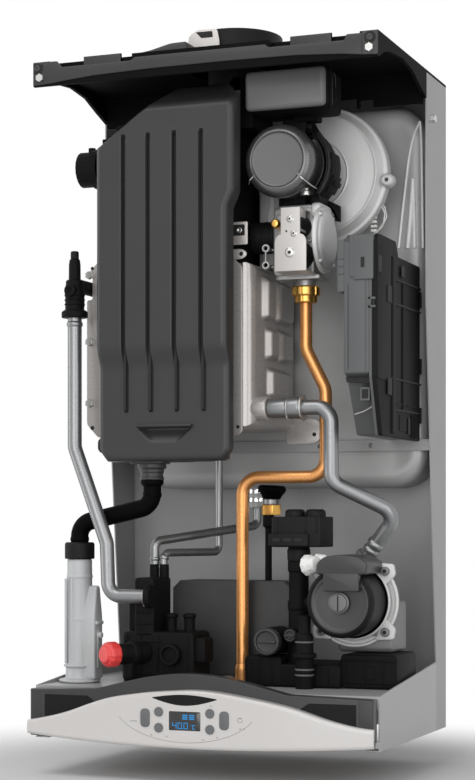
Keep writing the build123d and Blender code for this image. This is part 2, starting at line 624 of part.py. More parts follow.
def fan_motor():
    """Motor can behind a dished cap, with its foot ring against the scroll."""
    shoulder = MOTOR_FRONT + 18
    back = SCROLL_Y[0]
    motor = rod((FAN_X, shoulder, FAN_Z), (0, 1, 0), MOTOR_RADIUS, back - shoulder)
    cap = nosed((FAN_X, shoulder, FAN_Z), (0, -1, 0), MOTOR_CAP_RADIUS, 18, 6, 5)
    dish = rod((FAN_X, MOTOR_FRONT, FAN_Z), (0, 1, 0), MOTOR_CAP_RADIUS - 11, 2.5)
    motor += cap - dish
    for angle in (215, 325, 90):
        lug = Pos(FAN_X, 0, FAN_Z) * Rot(0, -angle, 0) * block(
            (MOTOR_RADIUS - 3, MOTOR_RADIUS + 4), (back - 30, back), (-5, 5))
        motor += lug
    socket = block((FAN_X - 14, FAN_X + 18), (back - 46, back - 16), (FAN_Z - 46, FAN_Z - 30))
    motor += socket
    return motor - bore((FAN_X, back - 25, FAN_Z), (0, 1, 0), SHAFT_RADIUS + RUNNING, 25)


def air_silencer():
    """Moulded air intake box with a rounded front and an underside throat."""
    box = block(SILENCER_X, SILENCER_Y, SILENCER_Z)
    box = chamfer(box.faces().sort_by(Axis.Y)[0].edges(), 3)
    throat_x = (FAN_X + 6, FAN_X + 34)
    box += block(throat_x, (-186, -168), (SILENCER_Z[0] - 6, SILENCER_Z[0]))
    return box


def mixing_duct():
    """Curved air duct that hugs the fan motor from the silencer down to the gas valve."""
    sweep_angles = [-46 + 94 * k / DUCT_CHORDS for k in range(DUCT_CHORDS + 1)]
    outline = [(FAN_X + radius * math.cos(math.radians(turn)), FAN_Z + radius * math.sin(math.radians(turn)))
               for radius, turns in ((DUCT_OUTER, sweep_angles), (DUCT_INNER, sweep_angles[::-1]))
               for turn in turns]
    duct = front_plate(outline, (-184, -150))
    duct += block((FAN_X + 8, FAN_X + 41), (-184, -150), (FAN_Z + 32, SILENCER_Z[0] - 6))
    duct += block((FAN_X + 24, FAN_X + 40), (-184, -150), (VALVE_Z[1], FAN_Z - 34))
    duct -= bore((FAN_X, -184, FAN_Z), (0, 1, 0), MOTOR_CAP_RADIUS + 2, 34)
    return duct


# ---------------------------------------------------------------- gas line
def gas_valve_body():
    """Cast valve block with a round diaphragm cover on its right and a base flange."""
    x0, x1 = VALVE_X - 33, VALVE_X + 16
    body = block((x0, x1), (GAS_Y - 18, GAS_Y + 20), VALVE_Z)
    body = chamfer(body.edges().filter_by(Axis.Y), 5)
    cover_z = (VALVE_Z[0] + VALVE_Z[1]) / 2
    body += rod((x1, GAS_Y - 2, cover_z), (1, 0, 0), 24, 8)
    body += rod((x1 + 8, GAS_Y - 14, cover_z), (1, 0, 0), DIAPHRAGM_RADIUS, 5)
    body += nosed((x1 + 13, GAS_Y - 14, cover_z), (1, 0, 0), DIAPHRAGM_RADIUS - 3, 4, 7, 3.5)
    body += block((x0 + 2, x1 + 6), (GAS_Y - 16, GAS_Y + 18), (VALVE_Z[0] - 4, VALVE_Z[0]))
    body += rod((VALVE_X, GAS_Y, UNION_TOP), (0, 0, 1), GAS_PIPE_RADIUS + 4, VALVE_Z[0] - 4 - UNION_TOP)
    for z in solenoid_heights():
        body -= bore((VALVE_X, GAS_Y - 18, z), (0, 1, 0), PLUNGER_RADIUS + RUNNING, 22)
    return body


def solenoid_heights():
    """Heights of the two gas solenoids."""
    return [VALVE_Z[0] + rise for rise in COIL_CAN_RISE]


def gas_solenoids():
    """Pair of solenoid cans on the front of the gas valve, and the modulator coil on its left."""
    cans = []
    for z, radius in zip(solenoid_heights(), COIL_CAN_RADII):
        can = rod((VALVE_X, GAS_Y - 18, z), (0, -1, 0), radius, 33)
        cans.append(can - bore((VALVE_X, GAS_Y - 18, z), (0, -1, 0), PLUNGER_RADIUS + RUNNING, 28))
    place = (VALVE_X - 33, GAS_Y, (VALVE_Z[0] + VALVE_Z[1]) / 2 + 8)
    return group([*cans, rod(place, (-1, 0, 0), MODULATOR_RADIUS, MODULATOR_LENGTH)])


def gas_plungers():
    """Pair of sprung armatures that open the gas seats."""
    y = GAS_Y - 18 - 20
    return group(rod((VALVE_X, y, z), (0, 1, 0), PLUNGER_RADIUS, 34) for z in solenoid_heights())


def valve_bracket():
    """Bright folded bracket over the solenoids, narrow above and wide below, with its screws."""
    y = GAS_Y - 18 - 33
    low, high = VALVE_Z[0], VALVE_Z[1] - 6
    shoulder = (low + high) / 2
    plate = front_plate(
        [(VALVE_X - 18, low), (VALVE_X + 18, low), (VALVE_X + 18, shoulder - 4),
         (VALVE_X + 11, shoulder + 6), (VALVE_X + 11, high), (VALVE_X - 11, high),
         (VALVE_X - 11, shoulder + 6), (VALVE_X - 18, shoulder - 4)], (y - SHEET, y))
    plate += block((VALVE_X - 18, VALVE_X + 18), (y, GAS_Y - 18), (low, low + SHEET))
    plate += block((VALVE_X - 11, VALVE_X + 11), (y, GAS_Y - 18), (high - SHEET, high))
    lower, upper = solenoid_heights()
    for x, z in ((VALVE_X, lower), (VALVE_X, upper + 4), (VALVE_X + 4, upper - 11)):
        plate += prism((x, y - SHEET, z), (0, -1, 0), 9, 2.5)
    return plate


def gas_union_nut():
    """Two-tier brass union nut under the gas valve."""
    upper, lower = UNION_TIERS
    nut = prism((VALVE_X, GAS_Y, UNION_TOP), (0, 0, -1), UNION_FLATS, upper)
    nut += prism((VALVE_X, GAS_Y, UNION_TOP - upper), (0, 0, -1), UNION_FLATS - 5, lower)
    return nut - bore((VALVE_X, GAS_Y, UNION_TOP), (0, 0, -1), GAS_PIPE_RADIUS, upper + lower)


def gas_pipe_route():
    """Points of the copper gas pipe, from the union nut down to the deck."""
    x = TAIL_MIDDLE_X
    return [(VALVE_X, GAS_Y, UNION_TOP), (VALVE_X, GAS_Y, 432), (GAS_RUN_X, GAS_Y, 387),
            (GAS_RUN_X, GAS_Y, 290), (x, GAS_Y, 290), (x, GAS_Y, DECK_HEIGHT)]


def gas_pipe():
    """Copper gas pipe with a sleeved foot."""
    tube = pipe(gas_pipe_route(), PIPE_BEND, GAS_PIPE_RADIUS)
    x = TAIL_MIDDLE_X
    return tube + rod((x, GAS_Y, DECK_HEIGHT + 4), (0, 0, 1), GAS_PIPE_RADIUS + 1.4, 18)


# ---------------------------------------------------------------- water pipes
def return_pipe_route():
    """Points of the grey pipe from the exchanger's right port to the top of the pump."""
    x, y, z = RETURN_PORT
    return [RETURN_PORT, (x + 72, y, z), (x + 71, y + 4, 284), (HALF - 14, -150, 248), pump_outlet()]


def return_pipe():
    """Plated steel pipe with a stepped push-in connector at the exchanger."""
    tube = pipe(return_pipe_route(), PIPE_BEND, WATER_PIPE_RADIUS)
    x, y, z = RETURN_PORT
    near, far = BARREL_LENGTHS
    tube += rod(RETURN_PORT, (1, 0, 0), WATER_PIPE_RADIUS + 2.5, near)
    return tube + rod((x + near, y, z), (1, 0, 0), WATER_PIPE_RADIUS + 4, far)


def flow_pipe_route():
    """Points of the grey pipe from the air vent down to the left manifold."""
    return [(VENT_X, VENT_Y, VENT_FOOT_Z), (VENT_X, VENT_Y, 336), (-133, VENT_Y, 200),
            (-129, VENT_Y, MANIFOLD_SOCKET_Z), (MANIFOLD_SOCKET_X, VENT_Y, MANIFOLD_SOCKET_Z)]


def flow_pipe():
    """Plated steel flow pipe on the left."""
    return pipe(flow_pipe_route(), 16, FLOW_PIPE_RADIUS)


def pipe_clips():
    """Wire spring clips that hold the pipes in their sockets."""
    x, y, z = RETURN_PORT
    place = (x + sum(BARREL_LENGTHS), y, z)
    ring = rod(place, (1, 0, 0), 15, CLIP_THICK) - bore(place, (1, 0, 0), WATER_PIPE_RADIUS, CLIP_THICK)
    place = (MANIFOLD_SOCKET_X, VENT_Y, MANIFOLD_SOCKET_Z)
    low = rod(place, (-1, 0, 0), 13, CLIP_THICK) - bore(place, (-1, 0, 0), FLOW_PIPE_RADIUS, CLIP_THICK)
    return group((ring, low))


def air_vent():
    """Automatic air vent: stepped tower over the flow pipe, with an elbow into the exchanger."""
    tower = rod((VENT_X, VENT_Y, VENT_FOOT_Z), (0, 0, 1), 15, 8)
    tower += rod((VENT_X, VENT_Y, VENT_FOOT_Z + 8), (0, 0, 1), 11, 34)
    tower += rod((VENT_X, VENT_Y, VENT_FOOT_Z + 42), (0, 0, 1), 7, 24)
    tower += rod((VENT_X, VENT_Y, VENT_ELBOW_Z), (0, 1, 0), 8, 88)
    tower += rod((VENT_X, -150, VENT_ELBOW_Z), (1, 0, 0), 8, SHELL_X[0] - VENT_X)
    tower += rod((VENT_X, VENT_Y, VENT_FOOT_Z + 30), (0, -1, 0), 7, 14)
    pin_hole = (VENT_X, VENT_Y, VENT_FOOT_Z + 58)
    return tower - bore(pin_hole, (0, 0, 1), VENT_PIN_RADIUS + RUNNING, 8)


def air_vent_cap():
    """Small screw cap on the air vent."""
    top = VENT_FOOT_Z + 66 + APART
    cap = prism((VENT_X, VENT_Y, top), (0, 0, 1), 9, 9, 10)
    return cap + rod((VENT_X, VENT_Y, top), (0, 0, -1), VENT_PIN_RADIUS, 7)


def hose_route():
    """Points of the condensate hose from the collector to the siphon."""
    return [(DRAIN_X, DRAIN_Y, COLLECTOR_BOTTOM - 20), (DRAIN_X, DRAIN_Y, 258),
            (SIPHON_X, SIPHON_Y, 238), (SIPHON_X, SIPHON_Y, SIPHON_TOP + 17)]


def condensate_hose():
    """Black rubber condensate hose."""
    return pipe(hose_route(), 15, HOSE_RADIUS)


def siphon_nut():
    """Black collar nut that holds the hose on the siphon."""
    nut = rod((SIPHON_X, SIPHON_Y, SIPHON_TOP), (0, 0, 1), SIPHON_NUT_RADIUS, 19)
    return nut - bore((SIPHON_X, SIPHON_Y, SIPHON_TOP + 17), (0, 0, 1), HOSE_RADIUS, 2)


def siphon_body():
    """Milky siphon bottle with rings, a side chamber and a base flange."""
    place = (SIPHON_X, SIPHON_Y, DECK_HEIGHT)
    height = SIPHON_TOP - DECK_HEIGHT
    bottle = rod(place, (0, 0, 1), SIPHON_RADIUS, height)
    bottle += rod(place, (0, 0, 1), SIPHON_RADIUS + 9, 4)
    bottle += rod((SIPHON_X, SIPHON_Y, 76), (0, 0, 1), SIPHON_RADIUS + 3.5, 2.5)
    chamber = side_plate([(SIPHON_Y - 11, 62), (SIPHON_Y + 11, 62), (SIPHON_Y + 11, 132),
                          (SIPHON_Y + 4, 168), (SIPHON_Y - 4, 168), (SIPHON_Y - 11, 132)],
                         (SIPHON_X + 8, SIPHON_X + 24))
    bottle += chamber
    bottle += block((SIPHON_X + 8, SIPHON_X + 27), (SIPHON_Y - 9, SIPHON_Y + 9), (124, 128))
    bottle += rod((SIPHON_X + 24, SIPHON_Y, 112), (1, 0, 0), 4, 5)
    foot = (SIPHON_X, SIPHON_Y, -TAIL_DROP)
    outlet = drum(foot, (0, 0, 1), TAIL_12_RADIUS, DECK_HEIGHT + TAIL_DROP - SHEET)
    outlet += rod((SIPHON_X, SIPHON_Y, DECK_HEIGHT - SHEET), (0, 0, 1), TAIL_12_RADIUS, SHEET)
    return bottle + outlet - rod(foot, (0, 0, 1), TAIL_12_RADIUS - TAIL_WALL, 60)


# ---------------------------------------------------------------- hydraulic block
def tail_places():
    """Places and radii of the five pipe tails, from left to right."""
    radii = (TAIL_34_RADIUS, TAIL_12_RADIUS, TAIL_34_RADIUS, TAIL_12_RADIUS, TAIL_34_RADIUS)
    return [(TAIL_MIDDLE_X + (k - 2) * TAIL_PITCH, radius) for k, radius in enumerate(radii)]


def connection_tails():
    """Five threaded tails under the deck: flow, hot water, gas, cold water and return."""
    tails = []
    for x, radius in tail_places():
        foot = (x, TAIL_Y, -TAIL_DROP)
        thread = TAIL_DROP + DECK_HEIGHT - SHEET - TAIL_NUT
        tail = drum(foot, (0, 0, 1), radius, thread)
        tail += prism((x, TAIL_Y, thread - TAIL_DROP), (0, 0, 1), 2 * radius + 4, TAIL_NUT)
        tail += rod((x, TAIL_Y, DECK_HEIGHT - SHEET), (0, 0, 1), radius, SHEET)
        hole = extrude(Plane(origin=foot) * RegularPolygon(radius - TAIL_WALL, 10), DECK_HEIGHT + TAIL_DROP)
        tails.append(tail - hole)
    return group(tails)


def flow_manifold():
    """Moulded left-hand manifold: pipe socket, stubs, sensor port and safety valve seat."""
    base = block((-112, -26), (-226, -176), (DECK_HEIGHT, 118))
    base += block((-98, -74), (-226, -176), (118, 178))
    base += rod((MANIFOLD_SOCKET_X, VENT_Y, MANIFOLD_SOCKET_Z), (1, 0, 0), 14, 26)
    for x in (-91.6, -79.4):
        base += rod((x, -184, 178), (0, 0, 1), 5.5, 14)
    for x in (-62, -40):
        base += rod((x, -204, 118), (0, 0, 1), 6, 20)
        base += rod((x, -204, 134), (0, 0, 1), 7.5, 2.5)
    base += prism((-52, -226, 93), (0, -1, 0), 24, 10, 8)
    base -= bore((-52, -236, 93), (0, 1, 0), 8, 16)
    base += block((-26, -14), (-222, -196), (84, 112))
    base += block((-112, -98), (-210, -186), (118, 150))
    return base


def safety_valve():
    """Relief valve body pointing forward and left, with its angled discharge."""
    body = rod(safety_point(VALVE_NOSE - 42), SAFETY_AXIS, 12, 42)
    body += prism(safety_point(-6), SAFETY_AXIS, 27, 7)
    body += rod(safety_point(2), (0, 0, -1), 7, 28)
    body -= block((-120, -40), (-226.0, -150), (60, 130))
    return body - bore(safety_point(VALVE_NOSE - 12), SAFETY_AXIS, KNOB_PIN + RUNNING, 14)


def safety_point(distance):
    """Point on the relief valve's axis, measured from its middle towards the knob."""
    return tuple(m + distance * a for m, a in zip((-96.0, -240.0, 94.0), SAFETY_AXIS))


def safety_knob():
    """Ribbed red knob that lifts the relief valve."""
    knob = prism(safety_point(VALVE_NOSE + APART), SAFETY_AXIS, 2 * KNOB_RADIUS - 1, 14, 12)
    knob += prism(safety_point(VALVE_NOSE + APART + 14), SAFETY_AXIS, 2 * KNOB_RADIUS - 8, 3, 12)
    return knob + rod(safety_point(VALVE_NOSE - 10), SAFETY_AXIS, KNOB_PIN, 12)


def return_manifold():
    """Moulded right-hand manifold: valve column, filter and drain seats, meter tube, pump foot."""
    body = block((22, 66), (-196, -152), (DECK_HEIGHT, 92))
    body += block((66, 134), (-196, -112), (DECK_HEIGHT, 84))
    body += block((134, 196), (-190, -112), (DECK_HEIGHT, 96))
    body += rod(FILTER_PLACE, (0, 1, 0), 15.5, 40)
    body += rod(DRAIN_PLACE, (0, 1, 0), 8, 24)
    body += rod((SPINDLE_X, SPINDLE_Y, 80), (0, 0, 1), 12.5, SPINDLE_TOP - 80)
    body += rod((SPINDLE_X + 6, SPINDLE_Y, 150), (1, 0, 0), 8, 12)
    body -= bore(FILTER_PLACE, (0, 1, 0), FILTER_PIN + RUNNING, 10)
    body -= bore(DRAIN_PLACE, (0, 1, 0), DRAIN_PIN + RUNNING, 12)
    body -= bore((SPINDLE_X, SPINDLE_Y, 150), (0, 0, 1), SPINDLE_RADIUS + RUNNING, SPINDLE_TOP - 150)
    body += rod((96, -205, DECK_HEIGHT), (0, 0, 1), 10, 60)
    body += rod((96, -205, 92), (0, 0, 1), 13.5, 5)
    body += rod((96, -205, 118), (0, 0, 1), 7, 20)
    body += block((82, 96), (-205, -190), (70, 80))
    body -= bore((96, -205, 84), (0, 0, 1), 7.5, 26)
    return body


def flow_turbine():
    """Water-meter wheel: three flat vanes on a small shaft."""
    wheel = rod((96, -205, 84 + APART), (0, 0, 1), 1.5, 26 - 2 * APART)
    for k in range(3):
        wheel += Pos(96, -205, 97) * Rot(0, 0, 60 * k) * Box(13, 1.2, 14)
    return wheel


def filter_cap():
    """Slotted cap of the return filter."""
    x, y, z = FILTER_PLACE
    seat = y - APART
    cap = rod((x, seat, z), (0, -1, 0), 15.5, 9)
    cap -= rod((x, seat - 9, z), (0, 1, 0), 11.5, 3)
    cap += Pos(x, seat - 7.5, z) * Box(22, 3, 3)
    return cap + rod((x, seat, z), (0, 1, 0), FILTER_PIN, 8)


def drain_tap():
    """Small drain screw with a cross-shaped grip."""
    x, y, z = DRAIN_PLACE
    seat = y - APART
    tap = prism((x, seat, z), (0, -1, 0), 15, 6, 10)
    tap += Pos(x, seat - 7, z) * Rot(0, 25, 0) * Box(13, 3, 3)
    return tap + rod((x, seat, z), (0, 1, 0), DRAIN_PIN, 10)


def plate_exchanger():
    """Brazed plate exchanger for hot water, with pressed edge grooves."""
    block_x = PLATE_X
    stack = block(block_x, PLATE_Y, PLATE_Z)
    stack = chamfer(stack.edges().filter_by(Axis.Y), 9)
    for k in range(1, PLATE_GROOVES + 1):
        y = PLATE_Y[0] + k * (PLATE_Y[1] - PLATE_Y[0]) / (PLATE_GROOVES + 1)
        ring = block((block_x[0] - 1, block_x[1] + 1), (y - 1, y + 1), (PLATE_Z[0] - 1, PLATE_Z[1] + 1))
        inner = block((block_x[0] + 3, block_x[1] - 3), (y - 1, y + 1), (PLATE_Z[0] + 3, PLATE_Z[1] - 3))
        stack -= ring - inner
    return stack + block((-70, 46), (PLATE_Y[0] + 2, PLATE_Y[1] - 2), (DECK_HEIGHT, PLATE_Z[0] + 1))


def diverter_motor():
    """Snap-on actuator box of the diverter valve, with its gear dome and connector."""
    box = block((47, 112), (-196, -150), (212, 246))
    box = chamfer(box.edges().filter_by(Axis.Z), 4)
    box += rod((SPINDLE_X + 2, SPINDLE_Y, 246), (0, 0, 1), 21, 8)
    box += block((44, 86), (-200, -196), (213, 226))
    box += rod((SPINDLE_X, SPINDLE_Y, SPINDLE_TOP), (0, 0, 1), 13, 16)
    return box - bore((SPINDLE_X, SPINDLE_Y, SPINDLE_TOP), (0, 0, 1), SPINDLE_RADIUS + RUNNING, 28)


def diverter_spindle():
    """Spindle that the actuator pushes to change over between heating and hot water."""
    return rod((SPINDLE_X, SPINDLE_Y, 156), (0, 0, 1), SPINDLE_RADIUS, 58)


def pump_outlet():
    """Centre of the pump's upper socket, where the return pipe ends."""
    return (147.0, -140.0, 203.0)


def pump_volute():
    """Pump casing: square flange with corner ears and a rounded volute with its top socket."""
    flange = block((PUMP_X - PUMP_EAR, PUMP_X + PUMP_EAR), (PUMP_CAN_Y[1] + 4, VOLUTE_Y[0]),
                   (PUMP_Z - PUMP_EAR, PUMP_Z + PUMP_EAR))
    flange = chamfer(flange.edges().filter_by(Axis.Y), 9)
    casing = rod((PUMP_X, VOLUTE_Y[0], PUMP_Z), (0, 1, 0), 44, VOLUTE_Y[1] - VOLUTE_Y[0])
    casing += block((PUMP_X - 20, PUMP_X + 44), (VOLUTE_Y[0], VOLUTE_Y[1]), (96, PUMP_Z))
    last, end = return_pipe_route()[-2:]
    casing += rod(end, Vector(*end) - Vector(*last), 12, 24)
    casing += flange
    return casing - bore((PUMP_X, PUMP_CAN_Y[1] + 4, PUMP_Z), (0, 1, 0), ROTOR_RADIUS + 2, 46)


def pump_motor():
    """Wet-rotor motor can with its terminal box and four flange screws."""
    length = PUMP_CAN_Y[1] - PUMP_CAN_Y[0] + 4
    can = nosed((PUMP_X, PUMP_CAN_Y[0] + length, PUMP_Z), (0, -1, 0), PUMP_CAN_RADIUS, length, 3, 3)
    can += rod((PUMP_X, PUMP_CAN_Y[1] - 4, PUMP_Z), (0, 1, 0), PUMP_CAN_RADIUS + 3, 8)
    box = front_plate([(PUMP_X - 24, 183), (PUMP_X + 32, 183), (PUMP_X + 34, 196), (PUMP_X + 24, 203),
                       (PUMP_X + 2, 205), (PUMP_X - 16, 202), (PUMP_X - 24, 195)],
                      (PUMP_CAN_Y[0] - 8, PUMP_CAN_Y[1] + 4))
    box += block((PUMP_X - 16, PUMP_X + 24), (PUMP_CAN_Y[0] - 8, PUMP_CAN_Y[0]), (165, 184))
    can += box
    for dx in (-1, 1):
        for dz in (-1, 1):
            place = (PUMP_X + dx * (PUMP_EAR - 6), PUMP_CAN_Y[1] + 4, PUMP_Z + dz * (PUMP_EAR - 6))
            can += prism(place, (0, -1, 0), 9, 6)
    can -= bore((PUMP_X, PUMP_CAN_Y[0] + 12, PUMP_Z), (0, 1, 0), ROTOR_RADIUS + 1, length - 12)
    return can - bore((PUMP_X, PUMP_CAN_Y[0], PUMP_Z), (0, 1, 0), SHAFT_RADIUS + RUNNING, 12)


def pump_rotor():
    """Rotor drum, shaft and pump wheel."""
    y0 = PUMP_CAN_Y[0] + 14
    rotor = rod((PUMP_X, y0, PUMP_Z), (0, 1, 0), ROTOR_RADIUS, 34)
    rotor += rod((PUMP_X, y0, PUMP_Z), (0, -1, 0), SHAFT_RADIUS, 5)
    rotor += rod((PUMP_X, y0 + 34, PUMP_Z), (0, 1, 0), 4, 10)
    wheel = prism((PUMP_X, y0 + 44, PUMP_Z), (0, 1, 0), 2 * ROTOR_RADIUS, 10, 16)
    return rotor + wheel


def pump_vent_screw():
    """Slotted bleed screw in the middle of the pump motor."""
    screw = rod((PUMP_X, PUMP_CAN_Y[0] - APART, PUMP_Z), (0, -1, 0), 9.5, 5)
    screw -= Pos(PUMP_X, PUMP_CAN_Y[0] - APART - 5, PUMP_Z) * Box(2, 3, 16)
    return screw + rod((PUMP_X, PUMP_CAN_Y[0] - APART, PUMP_Z), (0, 1, 0), SHAFT_RADIUS, 9)


# ---------------------------------------------------------------- vessel and electronics
def vessel_form(inset):
    """Form of the expansion vessel, drawn in all round by an inset: cut corners, bevelled front."""
    x0, x1 = VESSEL_X[0] + inset, VESSEL_X[1] - inset
    z0, z1 = VESSEL_Z[0] + inset, VESSEL_Z[1] - inset
    radius = VESSEL_CORNER - inset
    corners = ((x1 - radius, z1 - radius, 0), (x0 + radius, z1 - radius, 90),
               (x0 + radius, z0 + radius, 180), (x1 - radius, z0 + radius, 270))
    outline = [(x + radius * math.cos(math.radians(start + turn)), z + radius * math.sin(math.radians(start + turn)))
               for x, z, start in corners for turn in (0, 22.5, 45, 67.5, 90)]
    form = front_plate(outline, (VESSEL_Y[0] + inset, VESSEL_Y[1] - inset))
    front = form.faces().sort_by(Axis.Y)[0]
    return chamfer(front.edges(), VESSEL_EDGE)


def expansion_vessel():
    """Flat pressed expansion vessel of sheet steel, hollow, that fills the back of the boiler."""
    vessel = vessel_form(0) - vessel_form(VESSEL_WALL)
    rim = block((VESSEL_X[0] + 60, VESSEL_X[1] - 60), (VESSEL_Y[1] - VESSEL_WALL / 2, -SHEET),
                (VESSEL_Z[0] + 60, VESSEL_Z[1] - 60))
    x, y, z = VESSEL_PORT
    return vessel + rim + rod(VESSEL_PORT, (0, 0, 1), 12, VESSEL_Z[0] + VESSEL_WALL / 2 - z)


def vessel_pipes():
    """Pale pipes from the vessel port and the exchanger foot to the left manifold."""
    x, y, z = VESSEL_PORT
    first = pipe([(x, y, z), (x, y, z - 21), (-91, -184, 218), (-91, -184, 192)], 9, 5)
    second = pipe([(-50, -90, 345), (-50, -90, 205), (-80, -184, 205), (-80, -184, 192)], 9, 4.5)
    return group((first, second))


def pressure_sensor():
    """Water pressure sensor: brass hexagon and a black boot on a thin riser."""
    x, y = 20.0, -112.0
    sensor = rod((x, y, PLATE_Z[1]), (0, 0, 1), 4, 80)
    sensor += prism((x, y, 250), (0, 0, 1), 18, 10)
    sensor += rod((x, y, 260), (0, 0, 1), 6, 8)
    return sensor + nosed((x, y, 283), (0, 0, -1), 14, 16, 5, 11)


def control_box():
    """Grey tray of the electronics box, standing on edge, open to the right."""
    y0, y1 = BOX_Y
    z0, z1 = BOX_Z
    outline = [(y0 + 22, z0), (y1, z0), (y1, z1 - 16), (y1 - 86, z1 - 16), (y1 - 96, z1),
               (y0 + 10, z1), (y0, z1 - 10), (y0, z0 + 62)]
    inner = [(y + math.copysign(BOX_WALL, (y0 + y1) / 2 - y), z + math.copysign(BOX_WALL, (z0 + z1) / 2 - z))
             for y, z in outline]
    right = BOX_X[1] - LID_DEPTH
    box = side_plate(outline, (BOX_X[0], right))
    box -= side_plate(inner, (BOX_X[0] + BOX_WALL, right))
    box += block((BOX_X[0] - 8, BOX_X[0]), (y0 + 2, y0 + 30), (z1 - 62, z1 - 6))
    box -= block((BOX_X[0] - 8, BOX_X[0] - 2), (y0 + 8, y0 + 24), (z1 - 50, z1 - 18))
    return box


def control_box_cover():
    """Dark lid of the electronics box, with clip ribs down its face."""
    y0, y1 = BOX_Y
    z0, z1 = BOX_Z
    outline = [(y0 + 22, z0), (y1, z0), (y1, z1 - 16), (y1 - 86, z1 - 16), (y1 - 96, z1),
               (y0 + 10, z1), (y0, z1 - 10), (y0, z0 + 62)]
    left, right = BOX_X[1] - LID_DEPTH, BOX_X[1]
    lid = side_plate(outline, (left, right))
    inner = [(y + math.copysign(BOX_WALL, (y0 + y1) / 2 - y), z + math.copysign(BOX_WALL, (z0 + z1) / 2 - z))
             for y, z in outline]
    lid -= side_plate(inner, (left, right - BOX_WALL))
    for z in (z0 + 40, z0 + 92, z0 + 150):
        lid += block((right, right + 2), (y0 + 30, y0 + 96), (z, z + 2))
    for y in (y0 + 28, y0 + 96, y0 + 104):
        lid += block((right, right + 2), (y, y + 2), (z0 + 12, z1 - 24))
    return lid


def main_board():
    """Main circuit board on its stand-offs inside the electronics box."""
    y0, y1 = BOX_Y
    z0, z1 = BOX_Z
    x = BOX_X[0] + BOX_WALL
    board = block((x + 4, x + 5.6), (y0 + 40, y1 - 8), (z0 + 70, z1 - 26))
    for y in (y0 + 48, y1 - 16):
        for z in (z0 + 80, z1 - 36):
            board += prism((x, y, z), (1, 0, 0), 5, 4)
    board += block((x + 5.6, x + 18), (y0 + 60, y0 + 84), (z0 + 90, z0 + 120))
    board += block((x + 5.6, x + 15), (y0 + 50, y1 - 40), (z1 - 44, z1 - 34))
    return board


# ---------------------------------------------------------------- control panel
def panel_bezel():
    """Dark panel frame with an arched top edge and stepped ends."""
    wide = HALF - SHEET - APART
    low = 4.0
    arch_half = 107.0
    middle = -11.0
    top = BEZEL_TOP
    edge = (Line((-wide, low), (wide, low)) + Line((wide, low), (wide, top))
            + Line((wide, top), (middle + arch_half, top))
            + ThreePointArc((middle + arch_half, top), (middle, top + BEZEL_ARCH), (middle - arch_half, top))
            + Line((middle - arch_half, top), (-wide, top)) + Line((-wide, top), (-wide, low)))
    plane = Plane(origin=(0, PANEL_BACK, 0), x_dir=(1, 0, 0), z_dir=(0, -1, 0))
    frame = extrude(plane * make_face(edge), PANEL_BACK - BEZEL_FRONT)
    for side in (-1, 1):
        recess = sorted((side * (wide - 18), side * (middle * side + arch_half + 6)))
        frame -= block(recess, (BEZEL_FRONT, BEZEL_FRONT + 6), (30, top - 4))
        frame -= bore((side * wide, *PANEL_PIVOT), (-side, 0, 0), PIVOT_RADIUS + RUNNING, PIVOT_LENGTH + 1)
    return frame


def fascia_edge():
    """Front outline of the fascia: bell-shaped top edge and gently curved bottom edge."""
    wide = HALF - APART
    top = Spline((-wide, 21), (-112, 43), (-5, 61), (98, 48), (wide, 26))
    bottom = ThreePointArc((wide, 5), (10, -2), (-wide, 7))
    return make_face(Polyline(*chords(top, EDGE_CHORDS), *chords(bottom, EDGE_CHORDS // 2), close=True))


def fascia_form(inset):
    """Space between the flat back of the fascia and its bulging front."""
    wide = HALF - APART
    front = BEZEL_FRONT - FASCIA_BULGE + inset
    ends = BEZEL_FRONT - FASCIA_END + inset
    back = BEZEL_FRONT
    bulge = ThreePointArc((-wide, ends), (0, front), (wide, ends))
    edge = Polyline(*chords(bulge, EDGE_CHORDS), (wide, back), (-wide, back), close=True)
    return extrude(Plane.XY.offset(-10) * make_face(edge), 90)


def fascia():
    """Glossy light fascia with holes for the display, two rockers and four buttons."""
    plane = Plane(origin=(0, BEZEL_FRONT, 0), x_dir=(1, 0, 0), z_dir=(0, -1, 0))
    panel = extrude(plane * fascia_edge(), FASCIA_BULGE + 2) & fascia_form(0)
    panel -= fascia_form(FASCIA_WALL) & block((-90, 78), (BEZEL_FRONT - FASCIA_BULGE, BEZEL_FRONT), (6, 44))
    x, z = DISPLAY_CENTRE
    through = (BEZEL_FRONT - FASCIA_BULGE - 1, BEZEL_FRONT)
    wide, high = DISPLAY_SIZE
    panel -= block((x - wide / 2, x + wide / 2), (through[0], BEZEL_FRONT - FASCIA_BULGE + 1.6),
                   (z - high / 2, z + high / 2))
    panel -= block((x - wide / 2 + 2, x + wide / 2 - 2), through, (z - high / 2 + 2, z + high / 2 - 2))
    for bx, bz in ROUND_BUTTONS.values():
        panel -= bore((bx, through[0], bz), (0, 1, 0), BUTTON_RADIUS + APART, FASCIA_BULGE)
    for rx, rz in ROCKERS.values():
        panel -= rocker_prism((rx, rz), APART, through)
    return panel


def rocker_prism(place, gap, y):
    """Oval bar of a rocker key, widened by a gap, between two limits along Y."""
    wide, high = ROCKER_SIZE
    x, z = place
    key = block((x - wide / 2 - gap, x + wide / 2 + gap), y, (z - high / 2 - gap, z + high / 2 + gap))
    return chamfer(key.edges().filter_by(Axis.Y), wide * 0.3)


